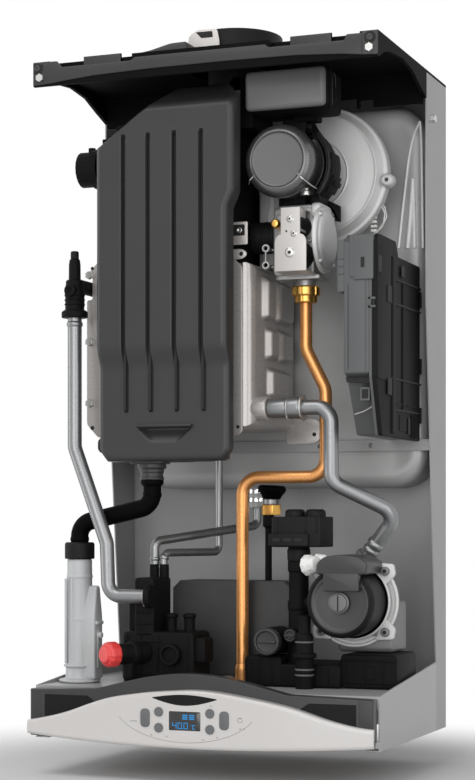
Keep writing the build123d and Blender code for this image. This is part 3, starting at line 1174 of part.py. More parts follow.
def display_module():
    """Display: glass window on its ledge, and the circuit board on stand-offs behind it."""
    x, z = DISPLAY_CENTRE
    wide, high = DISPLAY_SIZE
    front = BEZEL_FRONT - FASCIA_BULGE
    gap = 0.1
    glass = block((x - wide / 2 + gap, x + wide / 2 - gap), (front + 0.3, front + 1.6),
                  (z - high / 2 + gap, z + high / 2 - gap))
    board_y = (BEZEL_FRONT - 3.6, BEZEL_FRONT - 2)
    board = block((-84, 72), board_y, (10, 42))
    for bx in (-78, 66):
        for bz in (14, 38):
            board += prism((bx, BEZEL_FRONT, bz), (0, -1, 0), 5, 3)
    core = block((x - wide / 2 + 3, x + wide / 2 - 3), (front + 1.6, board_y[0]),
                 (z - high / 2 + 3, z + high / 2 - 3))
    return board + core + glass


def round_button(place):
    """Round push button, a little proud of the fascia."""
    front = BEZEL_FRONT - FASCIA_BULGE - 1
    return rod((place[0], front, place[1]), (0, 1, 0), BUTTON_RADIUS, 10)


def rocker(place):
    """Oval rocker key, a little proud of the fascia."""
    front = BEZEL_FRONT - FASCIA_BULGE - 0.8
    return rocker_prism(place, 0, (front, front + 7))


# ---------------------------------------------------------------- writing the sub-parts
PARTS = {
    "back_frame": back_frame, "bottom_tray": bottom_tray,
    "top_frame": top_frame, "chassis_screws": chassis_screws,
    "flue_adapter": flue_adapter, "flue_duct": flue_duct, "flue_collector": flue_collector,
    "exchanger_shell": exchanger_shell, "exchanger_coil": exchanger_coil, "burner_tube": burner_tube,
    "ignition_electrode": ignition_electrode,
    "fan_scroll": fan_scroll, "fan_impeller": fan_impeller, "fan_motor": fan_motor,
    "air_silencer": air_silencer, "mixing_duct": mixing_duct,
    "gas_valve_body": gas_valve_body, "gas_solenoids": gas_solenoids, "gas_plungers": gas_plungers,
    "valve_bracket": valve_bracket, "gas_union_nut": gas_union_nut, "gas_pipe": gas_pipe,
    "return_pipe": return_pipe, "flow_pipe": flow_pipe, "pipe_clips": pipe_clips,
    "air_vent": air_vent, "air_vent_cap": air_vent_cap,
    "condensate_hose": condensate_hose, "siphon_nut": siphon_nut, "siphon_body": siphon_body,
    "connection_tails": connection_tails, "flow_manifold": flow_manifold,
    "safety_valve": safety_valve, "safety_knob": safety_knob,
    "return_manifold": return_manifold, "flow_turbine": flow_turbine,
    "filter_cap": filter_cap, "drain_tap": drain_tap, "plate_exchanger": plate_exchanger,
    "diverter_motor": diverter_motor, "diverter_spindle": diverter_spindle,
    "pump_volute": pump_volute, "pump_motor": pump_motor, "pump_rotor": pump_rotor,
    "pump_vent_screw": pump_vent_screw,
    "expansion_vessel": expansion_vessel, "vessel_pipes": vessel_pipes,
    "pressure_sensor": pressure_sensor,
    "control_box": control_box, "control_box_cover": control_box_cover, "main_board": main_board,
    "panel_bezel": panel_bezel, "fascia": fascia, "display_module": display_module,
}


def main():
    """Build every sub-part and write one file for each."""
    os.makedirs("parts", exist_ok=True)
    solids = {name: make() for name, make in PARTS.items()}
    solids.update({name: round_button(place) for name, place in ROUND_BUTTONS.items()})
    solids.update({name: rocker(place) for name, place in ROCKERS.items()})
    for name, solid in solids.items():
        export_step(Pos(0, 0, -HANG_HEIGHT) * solid, f"parts/{name}.step")


main()
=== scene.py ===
# %% [markdown]
# # A wall-hung combi boiler with its casing off
# A measured model gives every part its place. This script dresses it: smooth moulded, pressed,
# cast and drawn pieces made from parametric surfaces, and materials that say how each was made.
# Lengths are millimetres, from the wall (y = 0) and from the underside of the boiler (z = 0).

# %% Set-up
import json
from math import acos, cos, degrees, hypot, pi, radians, sin, tan

import bpy
import numpy as np
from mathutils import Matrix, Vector


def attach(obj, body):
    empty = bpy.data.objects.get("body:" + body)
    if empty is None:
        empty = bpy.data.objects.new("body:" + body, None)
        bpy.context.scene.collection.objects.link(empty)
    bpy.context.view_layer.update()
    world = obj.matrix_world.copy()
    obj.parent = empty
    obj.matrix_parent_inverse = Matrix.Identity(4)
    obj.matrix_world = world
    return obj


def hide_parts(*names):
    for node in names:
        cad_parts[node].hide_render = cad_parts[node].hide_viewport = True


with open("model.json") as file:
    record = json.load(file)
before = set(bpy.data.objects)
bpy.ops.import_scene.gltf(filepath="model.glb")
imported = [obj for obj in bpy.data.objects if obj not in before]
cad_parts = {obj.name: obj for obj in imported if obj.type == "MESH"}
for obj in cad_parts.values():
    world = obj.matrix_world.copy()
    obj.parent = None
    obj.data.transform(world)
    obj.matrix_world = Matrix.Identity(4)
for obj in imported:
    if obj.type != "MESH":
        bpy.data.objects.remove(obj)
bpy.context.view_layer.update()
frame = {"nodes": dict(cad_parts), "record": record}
HANG = 739.0  # height of the hanging slots above the boiler's underside
RIGHT, LEFT, UP, DOWN = (1, 0, 0), (-1, 0, 0), (0, 0, 1), (0, 0, -1)
FRONT, WALL = (0, -1, 0), (0, 1, 0)
CIRCLE = 2 * pi
DECK = 58.2  # top of the bottom tray, plus a hair

# %% [markdown]
# ## A small kit of surfaces
# Each returns whole arrays.

# %% Kit: frames and outlines
def metres(points):
    """p = (x, y, z - HANG) / 1000: millimetres above the underside to metres from the slots."""
    return (np.asarray(points, float) - (0, 0, HANG)) / 1000


def basis(direction):
    """d = direction / |direction|, u = up x d, v = d x u, with up = Z, or Y where d is upright."""
    d = np.array(direction, float)
    d /= np.linalg.norm(d)
    up = UP if abs(d[2]) < 0.95 else WALL
    u = np.cross(up, d)
    u /= np.linalg.norm(u)
    return u, np.cross(d, u), d


def arc_corner(before, corner, after, size, steps):
    """Points of p(t) = (1-t)^2 a + 2t(1-t) c + t^2 b, with a and b at most size from corner c."""
    reach = [min(size, np.linalg.norm(p - corner) * 0.49) for p in (before, after)]
    a = corner + (before - corner) / max(np.linalg.norm(before - corner), 1e-9) * reach[0]
    b = corner + (after - corner) / max(np.linalg.norm(after - corner), 1e-9) * reach[1]
    t = np.linspace(0, 1, steps)[:, None]
    return (1 - t) ** 2 * a + 2 * t * (1 - t) * corner + t ** 2 * b


def soften(points, size, steps=5, loop=False):
    """A polyline with every corner replaced by a small parabolic arc."""
    p = np.asarray(points, float)
    if loop:
        rows = [arc_corner(p[k - 1], p[k], p[(k + 1) % len(p)], size, steps) for k in range(len(p))]
        return np.concatenate(rows)
    rows = [arc_corner(p[k - 1], p[k], p[k + 1], size, steps) for k in range(1, len(p) - 1)]
    return np.concatenate([p[:1], *rows, p[-1:]])


def ngon(count, radius, centre=(0, 0), start=0.0):
    """Corners of a regular polygon: c + r (cos a, sin a), a from start in steps of 360 / count degrees."""
    return [(centre[0] + radius * cos(a), centre[1] + radius * sin(a))
            for a in (radians(start) + CIRCLE * k / count for k in range(count))]


def inset(loop, distance):
    """Each vertex moved by distance (n1 + n2) / (1 + n1 . n2), the mitre of its edges' normals."""
    edge = np.roll(loop, -1, 0) - loop
    edge /= np.maximum(np.linalg.norm(edge, axis=1), 1e-9)[:, None]
    area = np.sum(loop[:, 0] * np.roll(loop[:, 1], -1) - np.roll(loop[:, 0], -1) * loop[:, 1])
    normal = np.stack([-edge[:, 1], edge[:, 0]], 1) * np.sign(area)
    last = np.roll(normal, 1, 0)
    share = 1 + np.sum(normal * last, 1)
    return loop + distance * (normal + last) / np.maximum(share, 0.2)[:, None]


# %% Kit: surfaces
def skin(rings, capped=True):
    """Closed rings joined row by row; quad = (i, j), (i, j+1), (i+1, j+1), (i+1, j)."""
    rings = np.asarray(rings, float)
    rows, n = rings.shape[:2]
    i, j = np.meshgrid(np.arange(rows - 1), np.arange(n), indexing="ij")
    k = (j + 1) % n
    quads = np.stack([i * n + j, i * n + k, (i + 1) * n + k, (i + 1) * n + j], -1).reshape(-1, 4)
    caps = [np.arange(n)[::-1], np.arange(n) + (rows - 1) * n] if capped else []
    return rings.reshape(-1, 3), quads.tolist() + [cap.tolist() for cap in caps]


# %% Kit: turned parts
def lathe(start, direction, profile, count=48, ripple=None, size=0.8):
    """P(t, a) = s + t d + r(t) k(a) (u cos a + v sin a) for a profile of (t, r) points."""
    u, v, d = basis(direction)
    profile = soften(profile, size, 4) if size else np.asarray(profile, float)
    a = np.linspace(0, CIRCLE, count, endpoint=False)
    k = np.ones(count) if ripple is None else ripple(a)
    round_ = (np.cos(a) * k)[:, None] * u + (np.sin(a) * k)[:, None] * v
    t, r = profile[:, 0, None, None], np.maximum(profile[:, 1], 0.01)[:, None, None]
    return skin(np.asarray(start, float) + t * d + r * round_)


def rod(start, direction, radius, length, count):
    """P(t, a) = s + t d + r (u cos a + v sin a), for t from 0 to the length."""
    return lathe(start, direction, [(0, radius), (length, radius)], count, size=0)


def disc(start, direction, radius, thick, count):
    """A flat round patch, closed in front: a rod of length thick whose end runs in to the axis."""
    return lathe(start, direction, [(0, radius), (thick, radius), (thick, 0.02)], count, size=0)


def grip(teeth, depth, level=0.0):
    """Radius factor k(a) = 1 - depth where cos(n a) is under a level: n grooves round a cap."""
    return lambda a: 1 - depth * (np.cos(teeth * a) < level)


def flats(depth, share):
    """Radius factor k(a) = 1 - depth where |cos 3a| is under a share: six flats of a nut."""
    return lambda a: 1 - depth * (np.abs(np.cos(3 * a)) < share)


def sweep(start, end, count):
    """Angles in radians, from one angle to another in degrees."""
    return np.radians(np.linspace(start, end, count))


# %% Kit: plates and boxes
def slab(points, origin, direction, length, corner=0.0, edge=0.8, steps=5):
    """Outline (a, b) extruded along d, its two rims rolled over a quarter circle of radius edge."""
    u, v, d = basis(direction)
    loop = soften(points, corner, steps, loop=True) if corner else np.asarray(points, float)
    edge = min(edge, length * 0.49)
    a = np.linspace(0, pi / 2, 4 if edge > 0.3 else 2)
    levels = [(edge * (1 - cos(q)), edge * (1 - sin(q))) for q in a]
    levels += [(length - h, w) for h, w in levels[::-1]]
    rings = []
    for height, in_by in levels:
        flat = inset(loop, in_by) if in_by > 1e-6 else loop
        rings.append(np.asarray(origin, float) + height * d + flat[:, :1] * u + flat[:, 1:] * v)
    return skin(np.array(rings))


def plate(axis, points, limits, corner=0.0, edge=0.8, steps=5):
    """A slab between two limits: axis x has (y, z) points, y has (x, z), z has (x, y)."""
    low, high = sorted(limits)
    origin, direction = {"x": ((low, 0, 0), RIGHT), "y": ((0, high, 0), FRONT), "z": ((0, 0, low), UP)}[axis]
    return slab(points, origin, direction, high - low, corner, edge, steps)


def brick(x, y, z, edge=0.8, axis="y", corner=None):
    """Box with rounded edges between the limits along each axis."""
    limits = {"x": x, "y": y, "z": z}
    first, second = [limits[name] for name in "xyz" if name != axis]
    points = [(first[0], second[0]), (first[1], second[0]), (first[1], second[1]), (first[0], second[1])]
    return plate(axis, points, limits[axis], edge if corner is None else corner, edge, 4)


# %% Kit: pipes
def route_line(points, bend):
    """Route whose corners are turned on true arcs of radius bend, six degrees a step."""
    p = [np.array(q, float) for q in points]
    line = [p[0]]
    for before, corner, after in zip(p, p[1:], p[2:]):
        back, ahead = before - corner, after - corner
        back, ahead = back / np.linalg.norm(back), ahead / np.linalg.norm(ahead)
        turn = pi - acos(np.clip(back @ ahead, -1, 1))
        reach = bend * tan(turn / 2)
        middle = (back + ahead) / np.linalg.norm(back + ahead)
        centre = corner + middle * hypot(bend, reach)
        start, end = corner + back * reach - centre, corner + ahead * reach - centre
        share = np.linspace(0, turn, max(3, int(degrees(turn) / 6)))[:, None]
        line += list(centre + start * np.sin(turn - share) / sin(turn) + end * np.sin(share) / sin(turn))
    return np.array(line + [p[-1]])


def tube(points, radius, bend=8.0, count=28, swell=()):
    """C(s) + r(s)(n cos a + b sin a) along a route; swell = (share of length, width, rise) beads."""
    line = route_line(points, bend)
    length = np.concatenate([[0], np.cumsum(np.linalg.norm(np.diff(line, axis=0), axis=1))])
    extra = [s for place, wide, rise in swell for s in np.linspace(-1, 1, 9) * wide + place * length[-1]]
    at = np.unique(np.clip(np.concatenate([length, extra]), 0, length[-1]))
    line = np.stack([np.interp(at, length, line[:, k]) for k in range(3)], 1)
    ahead = np.gradient(line, axis=0)
    ahead /= np.linalg.norm(ahead, axis=1)[:, None]
    n = basis(ahead[0])[0]
    rings = []
    r = np.full(len(at), float(radius))
    for place, wide, rise in swell:
        near = np.clip(1 - np.abs(at - place * length[-1]) / wide, 0, 1)
        r += rise * np.sin(near * pi / 2) ** 0.7
    a = np.linspace(0, CIRCLE, count, endpoint=False)[:, None]
    for k in range(len(line)):
        n = n - (n @ ahead[k]) * ahead[k]
        n /= np.linalg.norm(n)
        b = np.cross(ahead[k], n)
        rings.append(line[k] + r[k] * (np.cos(a) * n + np.sin(a) * b))
    return skin(np.array(rings))


# %% Kit: pressed sheets and screw heads
def pressing(front, back):
    """Closed sheet between two grids of the same shape: the front relief, its back and the rim."""
    rows, cols = front.shape[:2]
    i, j = np.meshgrid(np.arange(rows - 1), np.arange(cols - 1), indexing="ij")
    face = np.stack([i * cols + j, i * cols + j + 1, (i + 1) * cols + j + 1, (i + 1) * cols + j], -1)
    face = face.reshape(-1, 4)
    ids = np.arange(rows * cols).reshape(rows, cols)
    rim = np.concatenate([ids[0, :-1], ids[:-1, -1], ids[-1, :0:-1], ids[:0:-1, 0]])
    ahead = np.roll(rim, -1)
    shift = rows * cols
    sides = np.stack([rim, rim + shift, ahead + shift, ahead], -1)
    points = np.concatenate([front.reshape(-1, 3), back.reshape(-1, 3)])
    return points, np.concatenate([face, face[:, ::-1] + shift, sides]).tolist()


def bump(x, z, centre, half, soft=3.0):
    """Flat-topped pad of height 1: product over both axes of a smooth step at its edge."""
    step = [np.clip((h - np.abs(q - c)) / soft + 0.5, 0, 1) for q, c, h in zip((x, z), centre, half)]
    return np.prod([s * s * (3 - 2 * s) for s in step], axis=0)


def hex_head(place, direction, flats=8.0, height=4.0):
    """Hexagon screw head on its washer."""
    return [lathe(place, direction, [(0, flats * 0.72), (1, flats * 0.7), (1, 0)], 28, size=0.2),
            slab(ngon(6, flats / 2 / cos(pi / 6)), np.asarray(place, float) + basis(direction)[2] * 0.6,
                 direction, height - 0.6, 0.6, 0.6)]


# %% Kit: objects
def piece(name, material, surfaces, body="chassis", node=None, sharp=34.0):
    """One mesh object from several closed surfaces, with normals outwards and its place in the mesh."""
    points, faces, count = [], [], 0
    for surface in surfaces:
        for p, f in (surface if isinstance(surface, list) else [surface]):
            points.append(np.asarray(p, float))
            faces += [[q + count for q in face] for face in f]
            count += len(p)
    mesh = bpy.data.meshes.new(name)
    mesh.from_pydata(metres(np.concatenate(points)).tolist(), [], faces)
    mesh.materials.append(MATERIALS[material])
    obj = bpy.data.objects.new(name, mesh)
    bpy.context.scene.collection.objects.link(obj)
    bpy.context.view_layer.objects.active = obj
    obj.select_set(True)
    bpy.ops.object.mode_set(mode="EDIT")
    bpy.ops.mesh.select_all(action="SELECT")
    bpy.ops.mesh.normals_make_consistent(inside=False)
    bpy.ops.object.mode_set(mode="OBJECT")
    obj.select_set(False)
    mesh.polygons.foreach_set("use_smooth", np.ones(len(mesh.polygons), bool))
    mesh.set_sharp_from_angle(angle=radians(sharp))
    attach(obj, body)
    if node:
        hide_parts(node)
    size = " x ".join(f"{1000 * k:.1f}" for k in obj.dimensions)
    print(f"{name}: {size} mm, {len(mesh.polygons)} faces, {material}")
    return obj

# %% [markdown]
# ## Materials
# Every material is named for what it is and how it was made. A pattern is scaled in millimetres
# on the object's own coordinates, so that it keeps its size and its place when a part moves.

# %% Materials: helpers
def linear(code):
    """sRGB hex -> linear: ((c + 0.055) / 1.055)^2.4 above 0.04045, else c / 12.92."""
    c = np.array([int(code[k:k + 2], 16) / 255 for k in (1, 3, 5)])
    c = np.where(c > 0.04045, ((c + 0.055) / 1.055) ** 2.4, c / 12.92)
    return (*[float(q) for q in c], 1.0)


def add(tree, kind, settings=(), inputs=()):
    """Adds a shader node; an input is a value, or another node's output to link from."""
    node = tree.nodes.new(kind)
    for key, value in dict(settings).items():
        setattr(node, key, value)
    for key, value in dict(inputs).items():
        if isinstance(value, bpy.types.NodeSocket):
            tree.links.new(value, node.inputs[key])
        else:
            node.inputs[key].default_value = value
    return node


def empty_material(name):
    """New material without nodes, and its node tree."""
    material = bpy.data.materials.new(name)
    material.use_nodes = True
    material.node_tree.nodes.clear()
    return material, material.node_tree


def finish_of(name, base, second, rough, metal=0.0, mottle=60.0, grain=1.2, depth=0.03, along=(1, 1, 1),
              coat=0.0, edge=0.8, spread=0.08, clear=0.0, light=0.0, shine=0.5):
    """Named material: a slow mottle from base to second, a fine grain relief and worn-in roughness."""
    material, tree = empty_material(name)
    where = add(tree, "ShaderNodeTexCoord").outputs["Object"]
    scaled = add(tree, "ShaderNodeMapping", {"vector_type": "POINT"},
                 {"Vector": where, "Scale": tuple(1000.0 * k for k in along)}).outputs[0]
    slow = add(tree, "ShaderNodeTexNoise", {}, {"Vector": scaled, "Scale": 1 / mottle, "Detail": 3.0})
    fine = add(tree, "ShaderNodeTexNoise", {}, {"Vector": scaled, "Scale": 1 / grain, "Detail": 2.0})
    tone = add(tree, "ShaderNodeMix", {"data_type": "RGBA"}, {0: slow.outputs[0]})
    tone.inputs[6].default_value = linear(base)
    tone.inputs[7].default_value = linear(second)
    haze = add(tree, "ShaderNodeMapRange", {},
               {"Value": fine.outputs[0], "From Min": 0.3, "From Max": 0.7, "To Min": rough - spread / 2,
                "To Max": rough + spread / 2})
    soft = add(tree, "ShaderNodeBevel", {"samples": 4}, {"Radius": edge / 1000})
    relief = add(tree, "ShaderNodeBump", {},
                 {"Strength": 1.0, "Distance": depth / 1000, "Height": fine.outputs[0],
                  "Normal": soft.outputs[0]})
    shader = add(tree, "ShaderNodeBsdfPrincipled", {},
                 {"Base Color": tone.outputs[2], "Roughness": haze.outputs[0], "Metallic": metal,
                  "Specular IOR Level": shine, "Coat Weight": coat, "Coat Roughness": 0.08,
                  "Transmission Weight": clear, "Subsurface Weight": light,
                  "Subsurface Radius": (0.01, 0.01, 0.01), "Normal": relief.outputs[0]})
    add(tree, "ShaderNodeOutputMaterial", {}, {"Surface": shader.outputs[0]})
    return material


# %% Materials: the finishes of the boiler
# Each row: two colours that mottle into each other, roughness, then what sets the finish apart.
FINISHES = {
    # Powder coat on sheet: even grey, soft sheen with a faint orange peel.
    "polyester_coated_sheet": ("#8f8f90", "#9a9a9a", 0.42, dict(metal=0.35, grain=1.6, depth=0.02)),
    # The same coat on the deck and sides, a shade lighter.
    "coated_tray_sheet": ("#a2a2a2", "#adadad", 0.42, dict(metal=0.25, grain=1.6, depth=0.02)),
    # Zinc plate: bright, slightly patchy metal.
    "zinc_plated_strip": ("#b9b8b6", "#cdccc9", 0.33, dict(metal=0.9, mottle=9.0, grain=0.8)),
    # Zinc over cut sheet: pale and calm, with hardly any mirror.
    "bright_zinc_bracket": ("#bbb7b4", "#c5c1be", 0.38, dict(metal=0.3, mottle=14.0, grain=0.9)),
    # Moulded nylon: black with a soft narrow sheen.
    "satin_black_nylon": ("#111112", "#171718", 0.5, dict(grain=0.5, depth=0.02, shine=0.14)),
    # Glass fibre in nylon: deep black, dull and slightly mottled.
    "glass_filled_black_nylon": ("#0a0a0a", "#111111", 0.6,
                                 dict(grain=0.35, depth=0.03, mottle=18.0, shine=0.09)),
    # Textured black nylon, its colour pushed to near-black as painted shade for the undersides that lie in
    # shadow.
    "black_nylon_with_painted_shade": ("#0b0b0b", "#101010", 0.66, dict(grain=0.5, depth=0.02, shine=0.05)),
    # Spark-eroded tool texture: dark grey without highlights.
    "matt_black_polycarbonate": ("#1c1c1c", "#202020", 0.6, dict(grain=0.5, depth=0.015, shine=0.07)),
    # Copper-brazed steel plates, dark from the oven.
    "brazed_plate_pack": ("#3b3b3b", "#444444", 0.42, dict(metal=0.3, mottle=20.0, grain=0.6, shine=0.3)),
    # Wet enamel on pressed steel: broad, soft reflections.
    "enamelled_vessel_steel": ("#a4a4a4", "#aeaeae", 0.4,
                               dict(metal=0.15, mottle=80.0, grain=1.6, depth=0.01)),
    # Painted drawn steel: a tight highlight round the rim.
    "painted_motor_ring": ("#5c5c5d", "#646465", 0.27, dict(metal=0.65, grain=0.7, depth=0.02)),
    # Moulded polypropylene: dark grey, with a wide satin highlight on edges.
    "graphite_polypropylene": ("#343434", "#3a3a3b", 0.36, dict(grain=0.6, depth=0.012, shine=0.3)),
    # The lighter grey of the air box cap, equally satin.
    "ash_polypropylene": ("#616162", "#69696a", 0.34, dict(grain=0.6, depth=0.012, shine=0.4)),
    # Mid grey flame-retardant moulding, nearly matt.
    "grey_polycarbonate": ("#555657", "#5c5d5e", 0.45, dict(grain=0.6, depth=0.015, shine=0.35)),
    # Deep-drawn stainless: warm pale grey, stretched grain along the draw.
    "pressed_stainless": ("#b3afac", "#aaa6a3", 0.3,
                          dict(metal=0.35, mottle=40.0, grain=0.5, along=(1, 1, 0.15), depth=0.004)),
    # Turned and plated collar: mirror bands.
    "turned_chrome": ("#dcdcdc", "#d2d2d2", 0.12, dict(metal=1.0, grain=0.6, depth=0.002, spread=0.04)),
    # Near-white colour on the pressed crease: a painted highlight that stands in for the light it catches.
    "painted_crease_highlight": ("#f4f4f4", "#ececec", 0.2, dict(grain=0.8, depth=0.002)),
    # Shot-blasted casting: pale, powdery, no mirror.
    "blasted_cast_aluminium": ("#c4c4c4", "#d0d0cf", 0.55, dict(metal=0.3, grain=0.45, depth=0.06)),
    # Milled casting: greyer, with a fine tool grain.
    "machined_cast_aluminium": ("#9b9b9a", "#b0b0ae", 0.42, dict(metal=0.6, grain=0.5, depth=0.05)),
    # Drawn steel tube, plated: long streaky highlights.
    "drawn_zinc_tube": ("#7f8081", "#8b8c8d", 0.33,
                        dict(metal=0.75, mottle=30.0, grain=0.9, along=(1, 1, 0.2), depth=0.008)),
    # Drawn copper: warm, streaked along the tube.
    "drawn_copper": ("#de9f63", "#cd8d50", 0.3,
                     dict(metal=0.65, mottle=34.0, grain=0.7, along=(1, 1, 0.2), depth=0.012)),
    # Turned brass: yellow with sharp bright edges.
    "turned_brass": ("#cf9c4b", "#dcae62", 0.26, dict(metal=0.95, mottle=10.0, grain=0.4)),
    # EPDM rubber: black, dry.
    "ribbed_rubber": ("#040404", "#070707", 0.6, dict(grain=0.4, depth=0.03, shine=0.04)),
    # Unpigmented polypropylene: light passes into the wall.
    "milky_polypropylene": ("#bfc1c2", "#cbcdce", 0.36, dict(clear=0.12, light=0.25, grain=1.0)),
    # Pigmented nylon: strong red under a thin gloss.
    "red_polyamide": ("#ee4a47", "#dc3838", 0.36, dict(coat=0.15, grain=0.6, depth=0.02)),
    # High-gloss ABS: pale grey under a clear, sharp reflection.
    "gloss_grey_abs": ("#c9c6c4", "#cdcac8", 0.2,
                       dict(coat=0.35, mottle=200.0, grain=0.9, depth=0.003, spread=0.03)),
    # Tinted window: black and mirror-like.
    "smoked_display_glass": ("#030405", "#040506", 0.08, dict(coat=0.6, grain=2.0, depth=0.0, spread=0.02)),
    # Silicone keys: mid grey, velvety.
    "grey_key_rubber": ("#5d5e60", "#666769", 0.5, dict(grain=0.5, depth=0.02)),
    # Pad-printed ink: flat grey.
    "printed_legend": ("#9a9a9c", "#a3a3a5", 0.4, dict(grain=1.0, depth=0.0)),
    # Stoved enamel on a drawn can: dark with a soft metal sheen.
    "enamelled_motor_can": ("#3c3c3d", "#464647", 0.36, dict(metal=0.4, grain=0.6, depth=0.02, shine=0.3)),
    # Brushed cap: mid grey, faint brushing.
    "brushed_motor_disc": ("#606061", "#686869", 0.36, dict(metal=0.3, grain=0.4, depth=0.01)),
    # Cataphoretic coat on cast iron: rough grey skin.
    "coated_grey_iron": ("#6d6d6d", "#7e7e7e", 0.5, dict(metal=0.35, mottle=12.0, grain=0.7, depth=0.08)),
    # Natural nylon: clean white.
    "white_nylon": ("#f3f3f1", "#ececea", 0.42, dict(grain=0.8, depth=0.02)),
    # Glazed insulator: cream, shiny.
    "glazed_ceramic": ("#e7e2d6", "#ece8dd", 0.2, dict(grain=1.0)),
    # Solder mask over epoxy: green, semi-gloss.
    "glass_epoxy_board": ("#0f5a35", "#136340", 0.35, dict(grain=0.8)),
    # Sleeved leads: black with small glints.
    "braided_wire_black": ("#0c0c0d", "#141415", 0.42, dict(grain=0.3, depth=0.02, shine=0.25)),
    # PVC insulation: off-white, soft shine.
    "wire_white_pvc": ("#dddddb", "#d2d2d0", 0.35, dict(grain=0.5)),
    # Inside of holes and gaps, where no light comes back.
    "shadowed_recess": ("#060606", "#080808", 0.8, dict(grain=1.0, depth=0.0)),
}
MATERIALS = {name: finish_of(name, *codes, **more) for name, (*codes, more) in FINISHES.items()}


# %% Materials: lit segments, and the finish of each node
def glow(name, code, strength):
    """Lit segments of the display: light of its own and no shine."""
    material, tree = empty_material(name)
    light = add(tree, "ShaderNodeEmission", {}, {"Color": linear(code), "Strength": strength})
    add(tree, "ShaderNodeOutputMaterial", {}, {"Surface": light.outputs[0]})
    return material


MATERIALS["backlit_blue_segment"] = glow("backlit_blue_segment", "#3d9be0", 1.0)

SLOTS = {part["node"]: part["material_slot"] for part in frame["record"]["subparts"]}
NODE_FINISH = {"painted_sheet_steel": "polyester_coated_sheet", "tray_sheet": "coated_tray_sheet",
               "galvanised_steel": "zinc_plated_strip", "black_moulding": "glass_filled_black_nylon",
               "graphite_moulding": "graphite_polypropylene", "grey_moulding": "grey_polycarbonate",
               "stainless_steel": "pressed_stainless", "cast_aluminium": "blasted_cast_aluminium",
               "plated_steel_pipe": "drawn_zinc_tube", "copper_tube": "drawn_copper",
               "turned_brass": "turned_brass", "hose_rubber": "ribbed_rubber",
               "milky_polypropylene": "milky_polypropylene", "red_moulding": "red_polyamide",
               "fascia_gloss": "gloss_grey_abs", "display_glass": "smoked_display_glass",
               "key_rubber": "grey_key_rubber", "motor_black": "enamelled_motor_can",
               "ceramic": "glazed_ceramic", "circuit_board": "glass_epoxy_board",
               "pump_casting": "coated_grey_iron"}
for node_name, node_object in frame["nodes"].items():
    node_object.data.materials.clear()
    node_object.data.materials.append(MATERIALS[NODE_FINISH[SLOTS[node_name]]])
# The top frame is black nylon darkened further as painted shade for its shaded underside.
for node_name, finish in (("top_frame", "black_nylon_with_painted_shade"), ("plate_exchanger", "brazed_plate_pack")):
    frame["nodes"][node_name].data.materials[0] = MATERIALS[finish]
SLOT_OF = {finish: slot for slot, finish in NODE_FINISH.items()}
SLOT_OF |= {"bright_zinc_bracket": "galvanised_steel", "wire_white_pvc": "galvanised_steel",
            "brushed_motor_disc": "motor_black"}
print(len(MATERIALS), "materials on", len(frame["nodes"]), "nodes")

# %% [markdown]
# ## The flue collar
# On the roof a moulded adapter takes a coaxial flue: exhaust in the middle, fresh air round it.
# Both rings are injection moulded with a lead-in at the top, so each is turned from one profile.

# %% Flue collar
FLUE = (0, -162)  # x, y of the flue axis
COLLAR_TOP = 785


def turned_ring(radius, wall, low, high, lip=1.0, count=96):
    """Upright ring: up the outside, over a rounded lip and down the bore."""
    profile = [(low, radius), (high - lip, radius), (high, radius - wall / 2), (high - lip, radius - wall),
               (low, radius - wall), (low, radius)]
    return lathe((*FLUE, 0), UP, profile, count, size=0.4)


collar = [turned_ring(*sizes)
          for sizes in ((52, 1.7, 748, COLLAR_TOP), (51.9, 3.5, 762, 767), (32, 1.7, 704.2, COLLAR_TOP),
                        (50, 19.5, 749, 750.5))]
for k in range(8):
    c, s = cos(radians(45 * k + 22)), sin(radians(45 * k + 22))
    spoke = [(r * c - w * s, FLUE[1] + r * s + w * c) for r, w in ((31, 1), (51, 1), (51, -1), (31, -1))]
    collar.append(plate("z", spoke, (750, 757), 0, 0.3))
piece("flue_collar_rings", "satin_black_nylon", collar, node="flue_adapter")
dome = [(751, 50.2), (751, 75), (752.2, 74), (754.2, 62), (755, 54), (755, 50.2)]
piece("flue_collar_dome", "glass_filled_black_nylon", [lathe((*FLUE, 0), UP, dome + dome[:1], 96, size=0.6)])

# %% [markdown]
# ## The front bar of the top frame
# The frame is one black moulding. What the eye meets is its front bar: a satin face with a light
# top edge, raised ends with a screw in a pocket, two tongues behind it that hook the outer casing,
# and the steel strap that clamps the flue collar. They are flat outlines with a rolled rim.

# %% Top bar and flue clamp
bar = [(-200, 750.7), (-170.5, 750.3), (-164.8, 743.2), (-81, 743.2), (-76.5, 746.6), (75, 746.6),
       (79, 743.2), (163.3, 743), (165.7, 749), (182.4, 749), (182.8, 750.7), (200, 750.7), (200, 725.2),
       (183, 726.2), (160, 729), (110, 732), (34, 733), (-60, 732.6), (-128, 730.6), (-160, 728),
       (-174.7, 726.4), (-200, 724.8)]
tongues = [brick((low, high), (-266.4, -262.6), (742, 753.9), 0.8, "y", 1.2)
           for low, high in ((-141, -96), (101, 147))]
bulge = [(-97, 751), (-92, 757.2), (-70, 760), (-46, 765.6), (-26, 766), (-26, 751)]
piece("top_bar_face", "graphite_polypropylene",
      [plate("y", bar, (-273.2, -270.5), 1.2, 0.7), *tongues, plate("y", bulge, (-246, -212), 4, 2.5)])
pockets = [plate("y", [(-199.4, 749.4), (-187.6, 748), (-188.4, 738.6), (-198.9, 738)], (-273.5, -273.1), 1.2,
                 0),
           disc((191.4, -273.1, 743.7), FRONT, 6.4, 0.4, 32),
           brick((182.5, 183.1), (-273.4, -273.1), (727, 748.6), 0.1)]
pockets.append(plate("y", [(-27, 782), (-7.4, 781.8), (-6.6, 775), (-20.4, 775.1)], (-217.9, -217.5), 0.8, 0))
piece("top_bar_pockets", "shadowed_recess", pockets)
